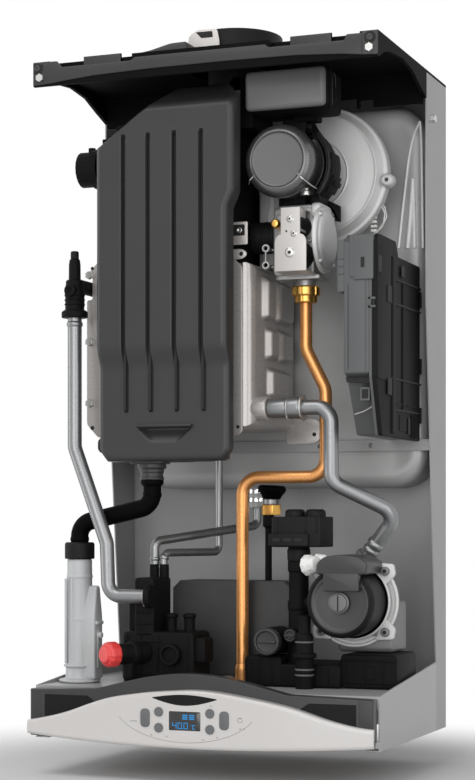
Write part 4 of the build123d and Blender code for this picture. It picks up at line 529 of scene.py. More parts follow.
piece("top_bar_screws", "enamelled_motor_can",
      [lathe((x, -273.4, 743.7), FRONT,
             [(0, 3.6), (1.0, 3.5), (1.3, 2.6), (1.3, 1.3), (0.6, 1.1), (0.6, 0.02)], 32, size=0.2)
       for x in (-194.4, 191.4)])
strap = [(-36.5, 752), (-36.5, 772), (-33.9, 779.5), (-24.3, 784.6), (-1.8, 784), (1, 771), (1, 752)]
piece("flue_collar_clamp", "bright_zinc_bracket",
      [plate("y", strap, (-217.6, -216), 3, 0.5), brick((-36, -34.4), (-216.5, -204), (752, 778), 0.5)])

# %% [markdown]
# ## The collector in front of the exchanger
# A big injection-moulded cover: rolled edges for stiffness, four grooves that keep the flat face
# from warping, a fold near the foot and a scoop over the drain. It is one relief y(x, z) inside a
# rounded outline, so that the highlight runs round its edges as on the moulding.

# %% Collector
COVER_BACK, COVER_ROLL = -202.0, 7.0  # y of the rear rim, radius of the rolled edge
COVER_LOW, COVER_HIGH = 307.0, 725.5
GROOVES = (-101.0, -71.0, -40.0, -8.0)
GROOVE_LOW, GROOVE_HIGH = 361, 668
SCOOP_X, SCOOP_TOP = -54.5, 346
FOLDS = soften([(COVER_LOW, -241), (412, -241), (431, -250), (697, -250), (COVER_HIGH, -203)], 6.5, 9)


def cover_front(z):
    """Front plane: upright, a fold 9 mm back below z = 431, sloping to the back above z = 697."""
    return np.interp(z, FOLDS[:, 0], FOLDS[:, 1])


def cover_sides(z):
    """Left and right edge: cut shoulder at the top left, narrow waist on the right."""
    return (np.interp(z, (307, 319, 655, 697, 726), (-126, -134.9, -134.9, -76, -57)),
            np.interp(z, (307, 319, 582, 600, 726), (13, 21.9, 21.9, 29.9, 29.9)))


roll = np.linspace(0, pi / 2, 7)
edge_in = np.concatenate([[0], COVER_ROLL * (1 - np.cos(roll))])
edge_back = np.concatenate([[1], 1 - np.sin(roll)])
face_z = np.unique(np.concatenate([np.linspace(COVER_LOW, COVER_HIGH, 120), np.linspace(409, 436, 16),
                                   np.linspace(688, 706, 20), np.linspace(326, 350, 26),
                                   (361, 363, 366, 660, 665, 667, 668.5)]))
low_z = COVER_LOW + edge_in
rows_z = np.concatenate([low_z, face_z[face_z > low_z[-1] + 0.5]])
rows_back = np.concatenate([edge_back, np.zeros(len(rows_z) - len(low_z))])
fine_x = np.concatenate([np.linspace(g - 4.2, g + 4.2, 11) for g in GROOVES])
mid_x = np.unique(np.concatenate([fine_x, np.linspace(-127, 22, 34), np.linspace(-90, -19, 34)]))
front, back = [], []
for z, fall in zip(rows_z, rows_back):
    left, right = cover_sides(z)
    inner = np.clip(mid_x, left + COVER_ROLL + 0.2, right - COVER_ROLL - 0.2)
    inner = inner + np.linspace(-0.1, 0.1, len(mid_x))  # keeps the clipped columns apart
    x = np.concatenate([left + edge_in, inner, right - edge_in[::-1]])
    side = np.concatenate([edge_back, np.zeros(len(inner)), edge_back[::-1]])
    face = cover_front(z)
    y = face + COVER_ROLL * (1 - (1 - np.minimum(side, 1)) * (1 - min(fall, 1)))
    for g in GROOVES:
        ends = np.clip((z - GROOVE_LOW) / 5, 0, 1) * np.clip((GROOVE_HIGH - z) / 5, 0, 1)
        near = np.clip(2.7 - np.abs(x - g), 0, 0.9) / 0.9
        y = y + 6.0 * near * min(ends * 2, 1) * (side < 0.01)
    lip = np.clip((SCOOP_TOP - 0.5 - z) / 1.5, 0, 1) * np.clip((z - SCOOP_TOP + 19) / 14, 0, 1)
    width = 34 - (SCOOP_TOP - z) * 0.9
    y = y + 7.5 * lip * np.clip((width - np.abs(x - SCOOP_X)) / 5, 0, 1) * (side < 0.01)
    rear = COVER_BACK - 26 * np.clip((x - right + 26) / 18, 0, 1)
    y = np.where((side > 0.999) | (fall > 0.999), rear, y)
    front.append(np.stack([x, np.minimum(y, rear), np.full_like(x, z)], 1))
    back.append(np.stack([x, rear, np.full_like(x, z)], 1))

# %% Collector: rim, scoop, ear and drain
cover = [pressing(np.array(front), np.array(back))]
RIM_PLATE = (-206.9, -202.2)  # y limits of the plate behind the rim
cover += [brick((-88, -21), (-246.5, -240), (344.6, 347.4), 0.8)]
ear = [(-140, 318), (-148, 318), (-152, 322), (-152, 332), (-148, 336), (-140, 336)]
cover += [plate("y", ear, RIM_PLATE, 2.5, 0.8),
          lathe((-146, -207, 327), FRONT, [(0, 4.6), (0.9, 4.4), (0.9, 2.6), (0, 2.6), (0, 4.6)], 28, size=0),
          plate("y", [(-140, 309), (8, 309), (8, 421), (-128, 423), (-140, 421)], RIM_PLATE, 3, 1.2)]
cover += [lathe((-82, -212, 287), UP,
                [(0, 8), (0, 13.4), (3, 13.4), (3, 12.4), (8, 12.4), (8, 13.4), (12, 13.4), (13, 15.9),
                 (19.5, 15.9), (20, 8), (0, 8)],
                56),
          brick((-102, -62), (-231, -203), (304.5, 309), 1.5, "z", 5),
          brick((-119, -34), (-228, -203), (306.5, 309), 1, "z", 3)]
piece("condensing_collector_cover", "graphite_polypropylene", cover, node="flue_collector", sharp=40)
dark = [disc((-146, -206.95, 327), FRONT, 2.6, 0.15, 24)]
dark += [brick((g - 1.7, g + 1.7), (-244.7, -243.7), (363, 666), 0.2) for g in GROOVES]
piece("collector_shadow_lines", "shadowed_recess", dark)

# %% [markdown]
# ## The exchanger's steel casing
# Deep drawn stainless sheet: a flange with holed corners in front, a rounded body and, on the side
# that shows, pressed pads that stiffen it. Each pad is a smooth step in one relief x(y, z).

# %% Exchanger casing
FLANGE_Y = -201.9  # front of the casing flange
SHELL_PADS = ((-160, 490, 13, 22), (-108, 490, 23, 22), (-150, 440, 12.5, 16), (-105, 440, 17, 16),
              (-126, 396, 31, 15))


def shell_side():
    """x(y, z) = 34 + 8.8 pad - roll, with roll = r (1 - sqrt(1 - e^2)) over the last r mm at an edge."""
    y, z = np.meshgrid(np.linspace(-200, -66, 160), np.linspace(346, 527.4, 180), indexing="ij")
    high = np.zeros_like(y)
    for cy, cz, hy, hz in SHELL_PADS:
        high = np.maximum(high, bump(y, z, (cy, cz), (hy, hz), 8.0))
    rolled = np.zeros_like(y)
    for gap, reach in ((y + 200, 13.8), (z - 345.8, 10), (527.6 - z, 10)):
        edge = np.clip(1 - gap / reach, 0, 0.998)
        rolled = np.maximum(rolled, reach * (1 - np.sqrt(1 - edge ** 2)))
    front = np.stack([34 + 8.8 * high - rolled, y, z], -1)
    inner = front.copy()
    inner[..., 0] = 21.9
    return pressing(front, inner)


# %% Exchanger casing: body, flange and tabs
casing = [shell_side(), brick((-159.8, 22.5), (-200, -65.2), (345.2, 527.8), 3, "y", 9)]
flange = [(-154, 336), (18, 336), (22, 340), (22, 522), (8, 536), (-154, 536), (-168, 522), (-168, 521),
          (-161, 521), (-161, 493), (-168, 493), (-168, 351)]
casing += [plate("y", flange, (FLANGE_Y, -199.6), 3, 0.6)]
casing += [plate("y", [(26, 331), (60, 331), (68, 337), (68, 355), (60, 361), (26, 361)], (-66.4, -65.1), 4,
                 0.4)]
casing += [plate("y", [(-12, 528), (8, 528), (8, 572), (-12, 572)], (FLANGE_Y, -200.2), 1, 0.5),
           lathe((24, -183, 366), RIGHT, [(0, 8), (0, 13.8), (21, 13.8), (22.6, 12.6), (22.6, 8), (0, 8)],
                 56)]
piece("exchanger_casing", "pressed_stainless", casing, node="exchanger_shell", sharp=40)
tab = [plate("y", [(8, 546.4), (28.8, 546.4), (28.8, 571.8), (8, 571.8)], (-203.4, FLANGE_Y), 1.5, 0.5),
       plate("y", [(8, 530.4), (22, 530.4), (27.8, 534), (27.8, 538), (22, 541.8), (8, 541.8)],
             (-203.4, FLANGE_Y), 3, 0.5)]
piece("casing_tabs", "bright_zinc_bracket", tab)
holes = [disc((x, y, z), FRONT, r, 0.14, 24)
         for x, y, z, r in ((-161, FLANGE_Y, 347, 2.4), (-161, FLANGE_Y, 529, 2), (60, -66.4, 342, 2.4),
                            (17, FLANGE_Y, 345.1, 2.0), (21.5, -203.4, 536.2, 2.4))]
holes.append(brick((11, 25.6), (-203.8, -203.3), (556.4, 568.6), 0.2))
piece("casing_holes", "shadowed_recess", holes)
piece("casing_tab_screw", "zinc_plated_strip",
      [lathe((19.4, -203.7, 562.4), FRONT, [(0, 3.2), (0.6, 3.1), (0.8, 2.2), (0.3, 1.2), (0.3, 0.02)], 28,
             size=0)])

# %% [markdown]
# ## The fan
# The housing is cast aluminium, blasted: an eccentric drum with a machined rim, a raised ring and
# screw bosses. The motor in front is a drawn can with a dished cap, held by three spring fingers.

# %% Fan housing and motor
FAN, DRUM = (70.0, 634.0), (85.2, 632.8)  # x, z of the motor axis and of the housing's drum
drum_profile = [(0, 0.02), (0, 73), (9, 73), (11, 78), (22.5, 78), (24.4, 77), (25, 73.8), (33.2, 68.9),
                (35.2, 67.9), (35.4, 66.8), (34.9, 65.6), (36.8, 52), (38.2, 30), (38.4, 0.02)]
scroll = [lathe((DRUM[0], -90.2, DRUM[1]), FRONT, drum_profile, 128, size=1.2)]
for angle, reach in ((-7.3, 79.3), (98, 75), (-128, 75)):
    bx, bz = DRUM[0] + reach * cos(radians(angle)), DRUM[1] + reach * sin(radians(angle))
    scroll += [lathe((bx, -110, bz), FRONT,
                     [(0, 7.9), (9, 7.6), (12, 6.2), (12.9, 5.0), (12.9, 2.2), (0, 2.1), (0, 7.9)], 40)]
scroll += [brick((14, 34), (-127.5, -91), (529, 634), 3, "y", 3),
           lathe((81, -127.6, 632), FRONT,
                 [(-3, 37), (0.2, 37.8), (1.6, 38.8), (1.6, 39.6), (0.2, 40.6), (-3, 41.4), (-3, 37)], 96,
                 size=0.6)]
piece("fan_scroll_casting", "blasted_cast_aluminium", scroll, node="fan_scroll")
piece("fan_boss_screws", "zinc_plated_strip",
      [hex_head((DRUM[0] + 77 * cos(radians(a)), -122.6, DRUM[1] + 77 * sin(radians(a))), FRONT, 5.0, 2.4)
       for a in (98, -128)])

# %% Fan motor
can_profile = [(0, 0.02), (0, 36.8), (66, 36.8), (70, 38.2), (72, 39.9), (79, 39.9), (84.5, 38.2),
               (88.2, 34.6), (89.5, 31.6), (89.4, 30.2), (87.2, 29.6), (87.2, 0.02)]
motor = [lathe((FAN[0], -132.4, FAN[1]), FRONT, can_profile, 96, size=2.2)]
piece("fan_motor_can", "painted_motor_ring", motor, node="fan_motor")
piece("fan_motor_disc", "brushed_motor_disc",
      [lathe((FAN[0], -219.4, FAN[1]), FRONT, [(0, 28.9), (0.7, 28.9), (0.7, 28.2), (0.4, 27.6), (0.4, 0.02)],
             96, size=0.1)])
fingers = [tube([(44, -221, 618.8), (38, -220.4, 613.6), (34.6, -214, 610.4)], 0.75, 1.5, 10),
           tube([(93.6, -221, 617.2), (99, -220, 611.4), (104.6, -208, 605.8), (106.5, -196, 604.2)], 0.75, 2,
                10)]
piece("motor_spring_fingers", "zinc_plated_strip", fingers)
piece("fan_motor_bolt", "zinc_plated_strip",
      [lathe((91, -187.5, 598.8), UP,
             [(0, 0.02), (0, 5.6), (4.4, 5.6), (5.2, 4.4), (10.4, 4.4), (10.4, 0.02)], 36, size=0.3)])
socket = [brick((56, 88), (-178, -148), (588.5, 604), 1.5, "y", 2),
          brick((60, 84), (-179.5, -176), (591, 601), 1, "y", 1)]
for angle in (215, 325, 90):
    c, s = cos(radians(angle)), sin(radians(angle))
    lug = [(FAN[0] + r * c - w * s, FAN[1] + r * s + w * c)
           for r, w in ((34, 5), (40.6, 4), (40.6, -4), (34, -5))]
    socket.append(plate("y", lug, (-161.5, -132.6), 1, 1))
piece("fan_motor_terminal", "glass_filled_black_nylon", socket)

# %% Fan leads
ladder = [brick((140, 147), (-104, -100), (568 + 5 * k, 571 + 5 * k), 0.4) for k in range(5)]
ladder += [tube([(143, -102, 566), (153, -104, 572), (159, -104, 584), (156, -102, 596), (150, -100, 600)],
                0.9, 4, 10),
           tube([(147, -103, 567), (156, -106, 577), (157.5, -106, 588), (152, -103, 598)], 0.9, 4, 10)]
piece("fan_earth_leads", "wire_white_pvc", ladder)
wires = []
for k, (r, y) in enumerate(((43.5, -176), (45, -184), (47.5, -186), (42.5, -190), (49, -186.5))):
    bend = [(FAN[0] + r * cos(a) * (1 + 0.02 * sin(3 * a + k)), y - 2 * sin(2 * a + k),
             FAN[1] + r * sin(a) * (1 + 0.015 * cos(4 * a + k)))
            for a in sweep(44, -44, 9)]
    wires.append(tube([(FAN[0] + 24, -176 + k * 2, 682)] + bend + [(FAN[0] + 33, -174 + k, 590)], 1.3, 4, 12))
piece("fan_motor_leads", "braided_wire_black", wires)

# %% Air box and mixing duct
front_cap = [brick((35.4, 127.2), (-229.8, -221), (687.2, 730.2), 4.2, "y", 6)]
piece("air_intake_silencer", "ash_polypropylene", front_cap, node="air_silencer")
# The air box body is black nylon darkened further as painted shade under the cap.
airbox = [brick((36.4, 126.8), (-222.4, -168.2), (686.4, 731.4), 3, "y", 6),
          brick((76, 104), (-186, -168), (681, 689), 1, "y", 2),
          brick((126, 128.2), (-214, -206), (686, 731), 0.6, "z"),
          brick((126, 127.6), (-196, -190), (700, 714), 0.6, "z")]
piece("silencer_body", "black_nylon_with_painted_shade", airbox)
piece("silencer_side_ribs", "graphite_polypropylene",
      [tube([(127.6, -209, 728), (127.9, -206, 722), (127.9, -205, 694), (127.4, -208, 688)], 0.5, 3, 8),
       tube([(126.6, -196, 729), (127.2, -192, 724), (127.2, -190, 700)], 0.45, 3, 8)])


def ring_sector(low, high, start, end, y, edge=1.5):
    """Part of a flat ring about the fan axis, from one angle to another, in degrees."""
    a = sweep(start, end, 40)
    outer = np.stack([FAN[0] + high * np.cos(a), FAN[1] + high * np.sin(a)], 1)
    inner = np.stack([FAN[0] + low * np.cos(a[::-1]), FAN[1] + low * np.sin(a[::-1])], 1)
    return plate("y", np.concatenate([outer, inner]), y, 0, edge)


duct = [ring_sector(40.5, 50.5, -46, 14, (-183.5, -150.5), 2.5),
        ring_sector(40.5, 46.5, 12, 62, (-183.5, -150.5), 2.5),
        ring_sector(49.5, 53, -36, -14, (-178, -152), 0.8),
        ring_sector(49, 54.6, -26, -20, (-174, -152), 0.6),
        plate("y", [(96, 603), (119, 591.4), (119, 574), (112, 575.6), (112, 587), (96, 595.6)],
              (-152, -146.5), 0.8, 0.6),
        brick((62, 90), (-183.7, -150.3), (667, 686), 2, "z", 4),
        brick((94.3, 106), (-183.7, -150.3), (588.3, 600.5), 2, "z", 3)]
for angle in (-30, -10, 6):
    duct.append(ring_sector(42, 51.2, angle, angle + 2.4, (-185.2, -180), 0.5))
piece("mixing_duct_moulding", "glass_filled_black_nylon", duct, node="mixing_duct")

# %% [markdown]
# ## The gas valve
# A machined casting with two solenoids behind a bright bracket, an oval diaphragm cover on the
# right and the union nut under it. The bracket is one folded blank with a shoulder.

# %% Gas valve
GX, GY = 84.0, -165.0  # axis of the gas inlet
valve = [brick((51.2, 99.8), (-182.8, -145.2), (512.2, 587.8), 2.5, "y", 6),
         brick((53.2, 105.8), (-180.8, -147.2), (508.2, 512.8), 0.8, "z", 4),
         brick((56, 98), (-182.6, -150), (581, 590), 1.8, "z", 4),
         brick((56, 64), (-184.6, -182), (516, 580), 0.8, "y", 1.5),
         brick((60, 97), (-184.2, -182), (548, 553), 0.6, "y", 1)]
valve += [lathe((99.5, GY - 2, 550), RIGHT, [(0, 23.8), (7.5, 23.8), (8.5, 22), (8.5, 0.02)], 64),
          lathe((GX, GY, 501.6), UP, [(0, 7), (0, 10.6), (6.4, 10.6), (6.4, 7), (0, 7)], 56, size=0.3)]
piece("gas_valve_casting", "machined_cast_aluminium", valve, node="gas_valve_body")
piece("diaphragm_cover", "blasted_cast_aluminium",
      [lathe((107.8, GY - 14, 550), RIGHT,
             [(0, 0.02), (0, 36.9), (3.6, 36.9), (5, 35.8), (5.4, 33.8), (5.2, 31.8), (7.6, 29.5), (8.9, 24),
              (9.1, 0.02)],
             96, size=1.0),
       brick((99.6, 110), (-196, -150), (572, 590), 3, "x", 7)])
piece("diaphragm_cover_screws", "zinc_plated_strip",
      [hex_head((112.6, GY - 14 + 33.4 * cos(a), 550 + 33.4 * sin(a)), RIGHT, 4.6, 2.2)
       for a in np.radians((50, 130, 230, 310))])

# %% Solenoids and bracket
cans = [lathe((50.8, GY, 558), LEFT, [(0, 17.6), (27, 17.6), (29.6, 16), (29.8, 0.02)], 64, size=1.2)]
for z, r in ((533, 15.7), (565, 12.7)):
    cans += [lathe((GX, GY - 18, z), FRONT, [(0, r), (30.5, r), (32.6, r - 1.2), (32.8, 0.02)], 72, size=1.2)]
for k in range(3):
    cans += [lathe((47 - 8 * k, GY, 558), LEFT, [(0, 17.8), (1.6, 17.8), (1.6, 17), (0, 17), (0, 17.8)], 64,
                   size=0)]
piece("solenoid_windings", "satin_black_nylon", cans, node="gas_solenoids")
BRACKET_Y = GY - 51  # front of the solenoid bracket
shoulder = [(65.6 + 7.2 * (1 - cos(a)), 543.6 + 9 * sin(a)) for a in np.linspace(0, pi / 2, 9)]
blank = [(65.6, 512.6), *shoulder, (72.9, 581.8), (94.9, 581.8)]
blank += [(GX * 2 - 0.2 - x, z) for x, z in shoulder[::-1]] + [(102.2, 512.6)]
bracket = [plate("y", blank, (BRACKET_Y - 1.5, BRACKET_Y), 0, 0.4),
           brick((66.2, 101.8), (BRACKET_Y, -183.4), (512.3, 513.6), 0.5, "z", 1),
           brick((73.2, 94.8), (BRACKET_Y, -183.4), (580.4, 581.8), 0.5, "z", 1),
           brick((93.4, 94.8), (BRACKET_Y, -197), (556, 581.6), 0.5, "x", 1)]
piece("solenoid_bracket", "bright_zinc_bracket", bracket, node="valve_bracket")

# %% Bracket screws, test nipples and union nut
heads, sockets = [], []
for x, z, r in ((83.4, 532.6, 4.9), (83.8, 569.1, 3.3), (88.0, 553.2, 3.0)):
    heads.append(lathe((x, BRACKET_Y - 1.4, z), FRONT,
                       [(0, r + 0.9), (0.4, r + 0.8), (0.5, r), (1.5, r * 0.92), (2.0, r * 0.6), (2, 0.02)],
                       40, size=0.3))
    star = [point for pair in zip(ngon(6, 0.3 * r, (x, z)), ngon(6, 0.52 * r, (x, z), 30)) for point in pair]
    sockets.append(plate("y", star, (BRACKET_Y - 3.5, BRACKET_Y - 3.3), 0, 0))
sockets.append(disc((79.4, BRACKET_Y - 1.5, 556), FRONT, 1.1, 0.15, 20))
piece("bracket_screws", "zinc_plated_strip", heads)
piece("bracket_screw_sockets", "shadowed_recess", sockets)
piece("pressure_test_button", "turned_brass",
      [lathe((61, -183, 567.5), FRONT, [(0, 5.2), (17, 5.2), (20, 5.0), (21.5, 3.8), (21.8, 0.02)], 36)])
links = [lathe((45.1, -187, z), FRONT, [(0, 4.3), (3, 4.3), (3.6, 3.6), (3.6, 2.6), (0, 2.4), (0, 4.3)], 32,
               size=0.3)
         for z in (543, 524.2)]
links.append(brick((44.4, 45.8), (-190, -188.6), (527, 540), 0.4))
piece("test_nipple_link", "wire_white_pvc", links)
piece("test_nipple_stems", "drawn_zinc_tube",
      [tube([(45.1, -187, z), (45.1, -175, z), (52, -172, z)], 2.1, 2, 16) for z in (543, 524.2)])
nut = [lathe((GX, GY, 501.3), DOWN,
             [(0, 7), (0, 15.3), (1.6, 15.9), (9.4, 15.9), (10.9, 14.6), (10.9, 7), (0, 7)], 72,
             flats(0.07, 0.22), size=0.5),
       lathe((GX, GY, 490.6), DOWN, [(0, 7), (0, 12.7), (6.6, 12.7), (7.8, 11.3), (7.8, 7), (0, 7)], 72,
             flats(0.05, 0.25), size=0.5)]
piece("gas_union_nut_turned", "turned_brass", nut, node="gas_union_nut")

# %% [markdown]
# ## Pipes
# The gas runs in drawn copper tube bent cold on a former; the water pipes are zinc-plated steel
# with beads where they enter their sockets. Every route is straight runs joined by true arcs.

# %% Pipes
gas_run = [(84, -165, 501), (84, -165, 432), (107, -165, 387), (107, -165, 290), (8.2, -165, 290),
           (8.2, -165, DECK)]
piece("copper_gas_pipe", "drawn_copper",
      [tube(gas_run, 7, 20, 36, swell=((0.985, 3, 0),)),
       lathe((8.2, -165, 62), UP, [(0, 7), (0, 8.4), (14, 8.4), (18, 7.05), (0, 7)], 48, size=0.4),
       lathe((8.2, -165, 59.5), UP, [(0, 7), (0, 9.6), (1.5, 9.8), (2.6, 8.6), (2.6, 7), (0, 7)], 48,
             size=0.3)],
      node="gas_pipe")
piece("gas_pipe_foot_ferrule", "zinc_plated_strip",
      [plate("z", [(-12, -172), (28, -172), (28, -158), (-12, -158)], (58.1, 59.8), 5, 0.4),
       *[lathe((x, -165, 59.6), UP, [(0, 8.4), (4.6, 8.2), (6.4, 6.4), (6.6, 0.02), (0, 0.02), (0, 8.4)], 32)
         for x in (-9.6, 26)]])
return_run = [(47.2, -183, 366), (119, -183, 366), (118, -179, 284), (186, -150, 248), (147, -140, 203)]
barrels = [(0.2, 7), (0.2, 10.9), (20.5, 10.9), (21.5, 10.0), (22.8, 10.0), (23.6, 12.3), (36, 12.4),
           (38.8, 11.4), (38.8, 7), (0.2, 7)]
piece("return_pipe_plated", "drawn_zinc_tube",
      [tube(return_run, 8.4, 16.5, 40, swell=((0.94, 4, 1.6), (0.97, 3, 1.4))),
       lathe((47.2, -183, 366), RIGHT, barrels, 64, size=0.5)],
      node="return_pipe")
flow_run = [(-169.5, -230, 470), (-169.5, -230, 324), (-129.5, -230, 216), (-127.5, -230, 157),
            (-80, -230, 157)]
piece("flow_pipe_plated", "drawn_zinc_tube", [tube(flow_run, 8, 16, 36, swell=((0.02, 3, 1.2),))],
      node="flow_pipe")


def wire_clip(place, direction, radius, across):
    """Spring clip: an open ring of 1.4 mm wire with two bent ears."""
    u, v = basis(direction)[:2]
    a = sweep(-130, 130, 15)
    ring = [np.array(place) + radius * (cos(k) * v + sin(k) * u) for k in a]
    ears = [ring[0] - 5 * v + across * u, ring[-1] - 5 * v - across * u]
    return tube([ears[0], *ring, ears[1]], 0.7, 2, 10)


piece("spring_clips", "zinc_plated_strip",
      [wire_clip((70, -183, 366), RIGHT, 11.4, 3),
       lathe((86.2, -183, 366), RIGHT, [(0, 8.5), (0, 14.8), (1.4, 14.8), (1.4, 8.5), (0, 8.5)], 56,
             size=0.3),
       wire_clip((-82, -230, 157), LEFT, 9.4, 3),
       lathe((-80, -230, 157), LEFT, [(0, 8), (0, 10.6), (1.5, 10.6), (1.5, 8), (0, 8)], 48, size=0.3)],
      node="pipe_clips")
thin = [tube([(-22, -36, 257), (-22, -36, 236), (-91, -184, 218), (-91, -184, 192)], 5, 9, 24,
             swell=((0.97, 2, 1),)),
        tube([(-50, -90, 345), (-50, -90, 205), (-80, -184, 205), (-80, -184, 192)], 4.5, 9, 24,
             swell=((0.97, 2, 1),))]
piece("vessel_and_drain_pipes", "drawn_zinc_tube", thin, node="vessel_pipes")
hose_run = [(-82, -212, 287), (-82, -212, 258), (-172, -212, 238), (-172, -212, 215)]
cuffs = [lathe((-82, -212, 287), DOWN, [(0, 9), (0, 12.8), (5, 12.8), (6, 10.2), (6, 9), (0, 9)], 48)]
piece("condensate_hose_rubber", "ribbed_rubber",
      [tube(hose_run, 10, 18, 36, swell=((0.04, 2, 1.2), (0.12, 2, 0.8), (0.96, 3, 0.8)))] + cuffs,
      node="condensate_hose")

# %% [markdown]
# ## Air vent and siphon
# The vent is a stepped nylon tower with a float inside and a screw cap on top. The siphon is a
# milky blow-moulded bottle, so its rings and its side chamber show as soft steps.

# %% Air vent, siphon
VX, VY = -169.5, -230.0  # axis of the vent tower
vent = [lathe((VX, VY, 470), UP,
              [(0, 8), (0, 14.8), (6.5, 14.9), (8, 13), (9, 10.8), (24, 10.8), (25, 11.4), (30, 11.4),
               (31, 10.6), (42, 9.8), (43, 6.8), (60, 6.6), (66, 5.8), (66, 0.02)],
              56, size=1.0),
        rod((VX, VY, 507), WALL, 7.9, 88, 40),
        lathe((VX, -150, 507), RIGHT, [(-6, 7.9), (9.5, 7.9)], 40, size=0),
        lathe((VX, VY, 500), FRONT, [(8, 6.9), (13.6, 6.9), (13.9, 5.6), (13.9, 3), (12, 2.6), (12, 0.02)],
              32),
        brick((-179, -160), (-236, -222), (482, 494), 1.5, "z", 3)]
for z in (484, 489, 494):
    vent.append(lathe((VX, VY, z), UP, [(0, 10.9), (0.6, 11.6), (1.6, 11.6), (2.2, 10.9)], 48, size=0))
piece("air_vent_tower", "glass_filled_black_nylon", vent, node="air_vent")
piece("air_vent_screw_cap", "satin_black_nylon",
      [lathe((VX, VY, 536.3), UP, [(0, 4.5), (1, 4.7), (7.6, 4.6), (8.8, 3.8), (9, 0.02)], 60, grip(10, 0.06),
             size=0.5),
       rod((VX, VY, 536.3), DOWN, 2.5, 7, 24)],
      body="vent_cap", node="air_vent_cap")

# %% Siphon
SX, SY = -172.0, -212.0  # axis of the siphon
piece("siphon_collar_nut", "satin_black_nylon",
      [lathe((SX, SY, 198), UP, [(0, 9), (0, 16.4), (1.2, 16.9), (17, 16.9), (19, 15.4), (19, 10), (0, 9)],
             90, grip(30, 0.018), size=0.6)],
      node="siphon_nut")
bottle = [lathe((SX, SY, 58), UP,
                [(0, 10), (0, 20), (1, 23.5), (3.4, 23.8), (4.2, 21), (5, 16.2), (17, 15.6), (18, 18),
                 (20, 18.2), (21.2, 15.4), (70, 14.8), (72, 15.2), (74, 14.6), (118, 14.2), (120, 15.2),
                 (122, 14.2), (139.8, 14.0), (139.8, 10), (0, 10)],
                64, size=1.4)]
chamber = [(-223, 62), (-201, 62), (-201, 132), (-208, 168), (-216, 168), (-223, 132)]
bottle += [plate("x", chamber, (-166, -148.2), 4, 2.2),
           brick((-164, -145.4), (-221, -203), (124, 128), 1, "z", 3)]
bottle += [plate("x", [(-216, 74), (-208, 74), (-208, 118), (-216, 118)], (-149, -147.4), 2, 0.8),
           lathe((-149, SY, 112), RIGHT, [(0, 4), (4.6, 3.8), (5.6, 2.4), (5.6, 0.02)], 28),
           lathe((SX, SY, -2.9), UP, [(0, 8.3), (0, 10), (3, 10.4), (60, 10.4), (60, 8.3), (0, 8.3)], 56,
                 size=0.6)]
for x0 in (-184, -176.5):
    bottle.append(brick((x0, x0 + 3), (-227.4, -224), (80, 176), 1.2, "x", 1))
piece("siphon_bottle", "milky_polypropylene", bottle, node="siphon_body")

# %% [markdown]
# ## Hydraulic block
# Everything that carries water below is moulded in glass-filled nylon: thick ribbed walls, round
# ports with collars, and metal only where something screws in. Small turned collars and ribs
# over the plain forms give the moulding its depth.

# %% Left manifold and relief valve
def port(place, direction, profile, count=40):
    """Round moulded port: a turned profile with small radii that starts at a place on the manifold."""
    return lathe(place, direction, profile, count, size=0.5)


RIB_Y = (-227, -224)
left = [brick((-111.8, -26.2), (-225.8, -176.2), (DECK, 117.8), 2.5, "y", 6),
        brick((-97.8, -74.2), (-225.8, -176.2), (112, 177.8), 2.5, "y", 4),
        brick((-111.8, -98), (-209.8, -186.2), (110, 149.8), 2, "y", 3),
        brick((-27, -14.2), (-221.8, -196.2), (84.2, 111.8), 2, "y", 4),
        port((-80, -230, 157), RIGHT,
             [(-1, 8), (-1, 12.6), (0, 13), (3, 13.2), (5, 12.2), (6, 12.2), (6, 0.02), (5, 0.02), (5, 8),
              (-1, 8)])]
for x in (-91.6, -79.4):
    left.append(port((x, -184, 176), UP,
                     [(0, 5.4), (12, 5.4), (13, 5.0), (15.8, 5.4), (15.9, 4.5), (0, 4.4)]))
for x in (-62, -40):
    left.append(port((x, -204, 116), UP,
                     [(0, 6), (16, 6), (18, 7.4), (20.6, 7.4), (21.6, 5.9), (22, 4), (19, 3.6), (19, 0.02)]))
left.append(plate("y", ngon(8, 12.6, (-52, 93), 22.5), (-232, -225), 1.5, 0.8))
left.append(port((-52, -231, 93), FRONT,
                 [(0, 7.9), (0, 12.2), (4, 12.2), (5, 11), (5, 8.6), (2, 7.9), (-3, 7.9), (-3, 0.02)]))
for x in (-108, -92, -70, -34):
    left.append(brick((x, x + 2), RIB_Y, (62, 114), 0.6, "x", 0.5))
for z in (70, 106):
    left.append(brick((-110, -66), RIB_Y, (z, z + 2), 0.6, "x", 0.5))
for z in (126, 138, 150, 162):
    left.append(brick((-96, -76), RIB_Y, (z, z + 1.8), 0.5, "x", 0.5))
piece("left_hydraulic_moulding", "glass_filled_black_nylon", left, node="flow_manifold")

# %% Relief valve
RELIEF_AXIS = np.array((-0.5, -0.866, 0.0))


def spot(s):
    """Point s mm along the relief valve's axis."""
    return np.array((-96.0, -240.0, 94.0)) + s * RELIEF_AXIS


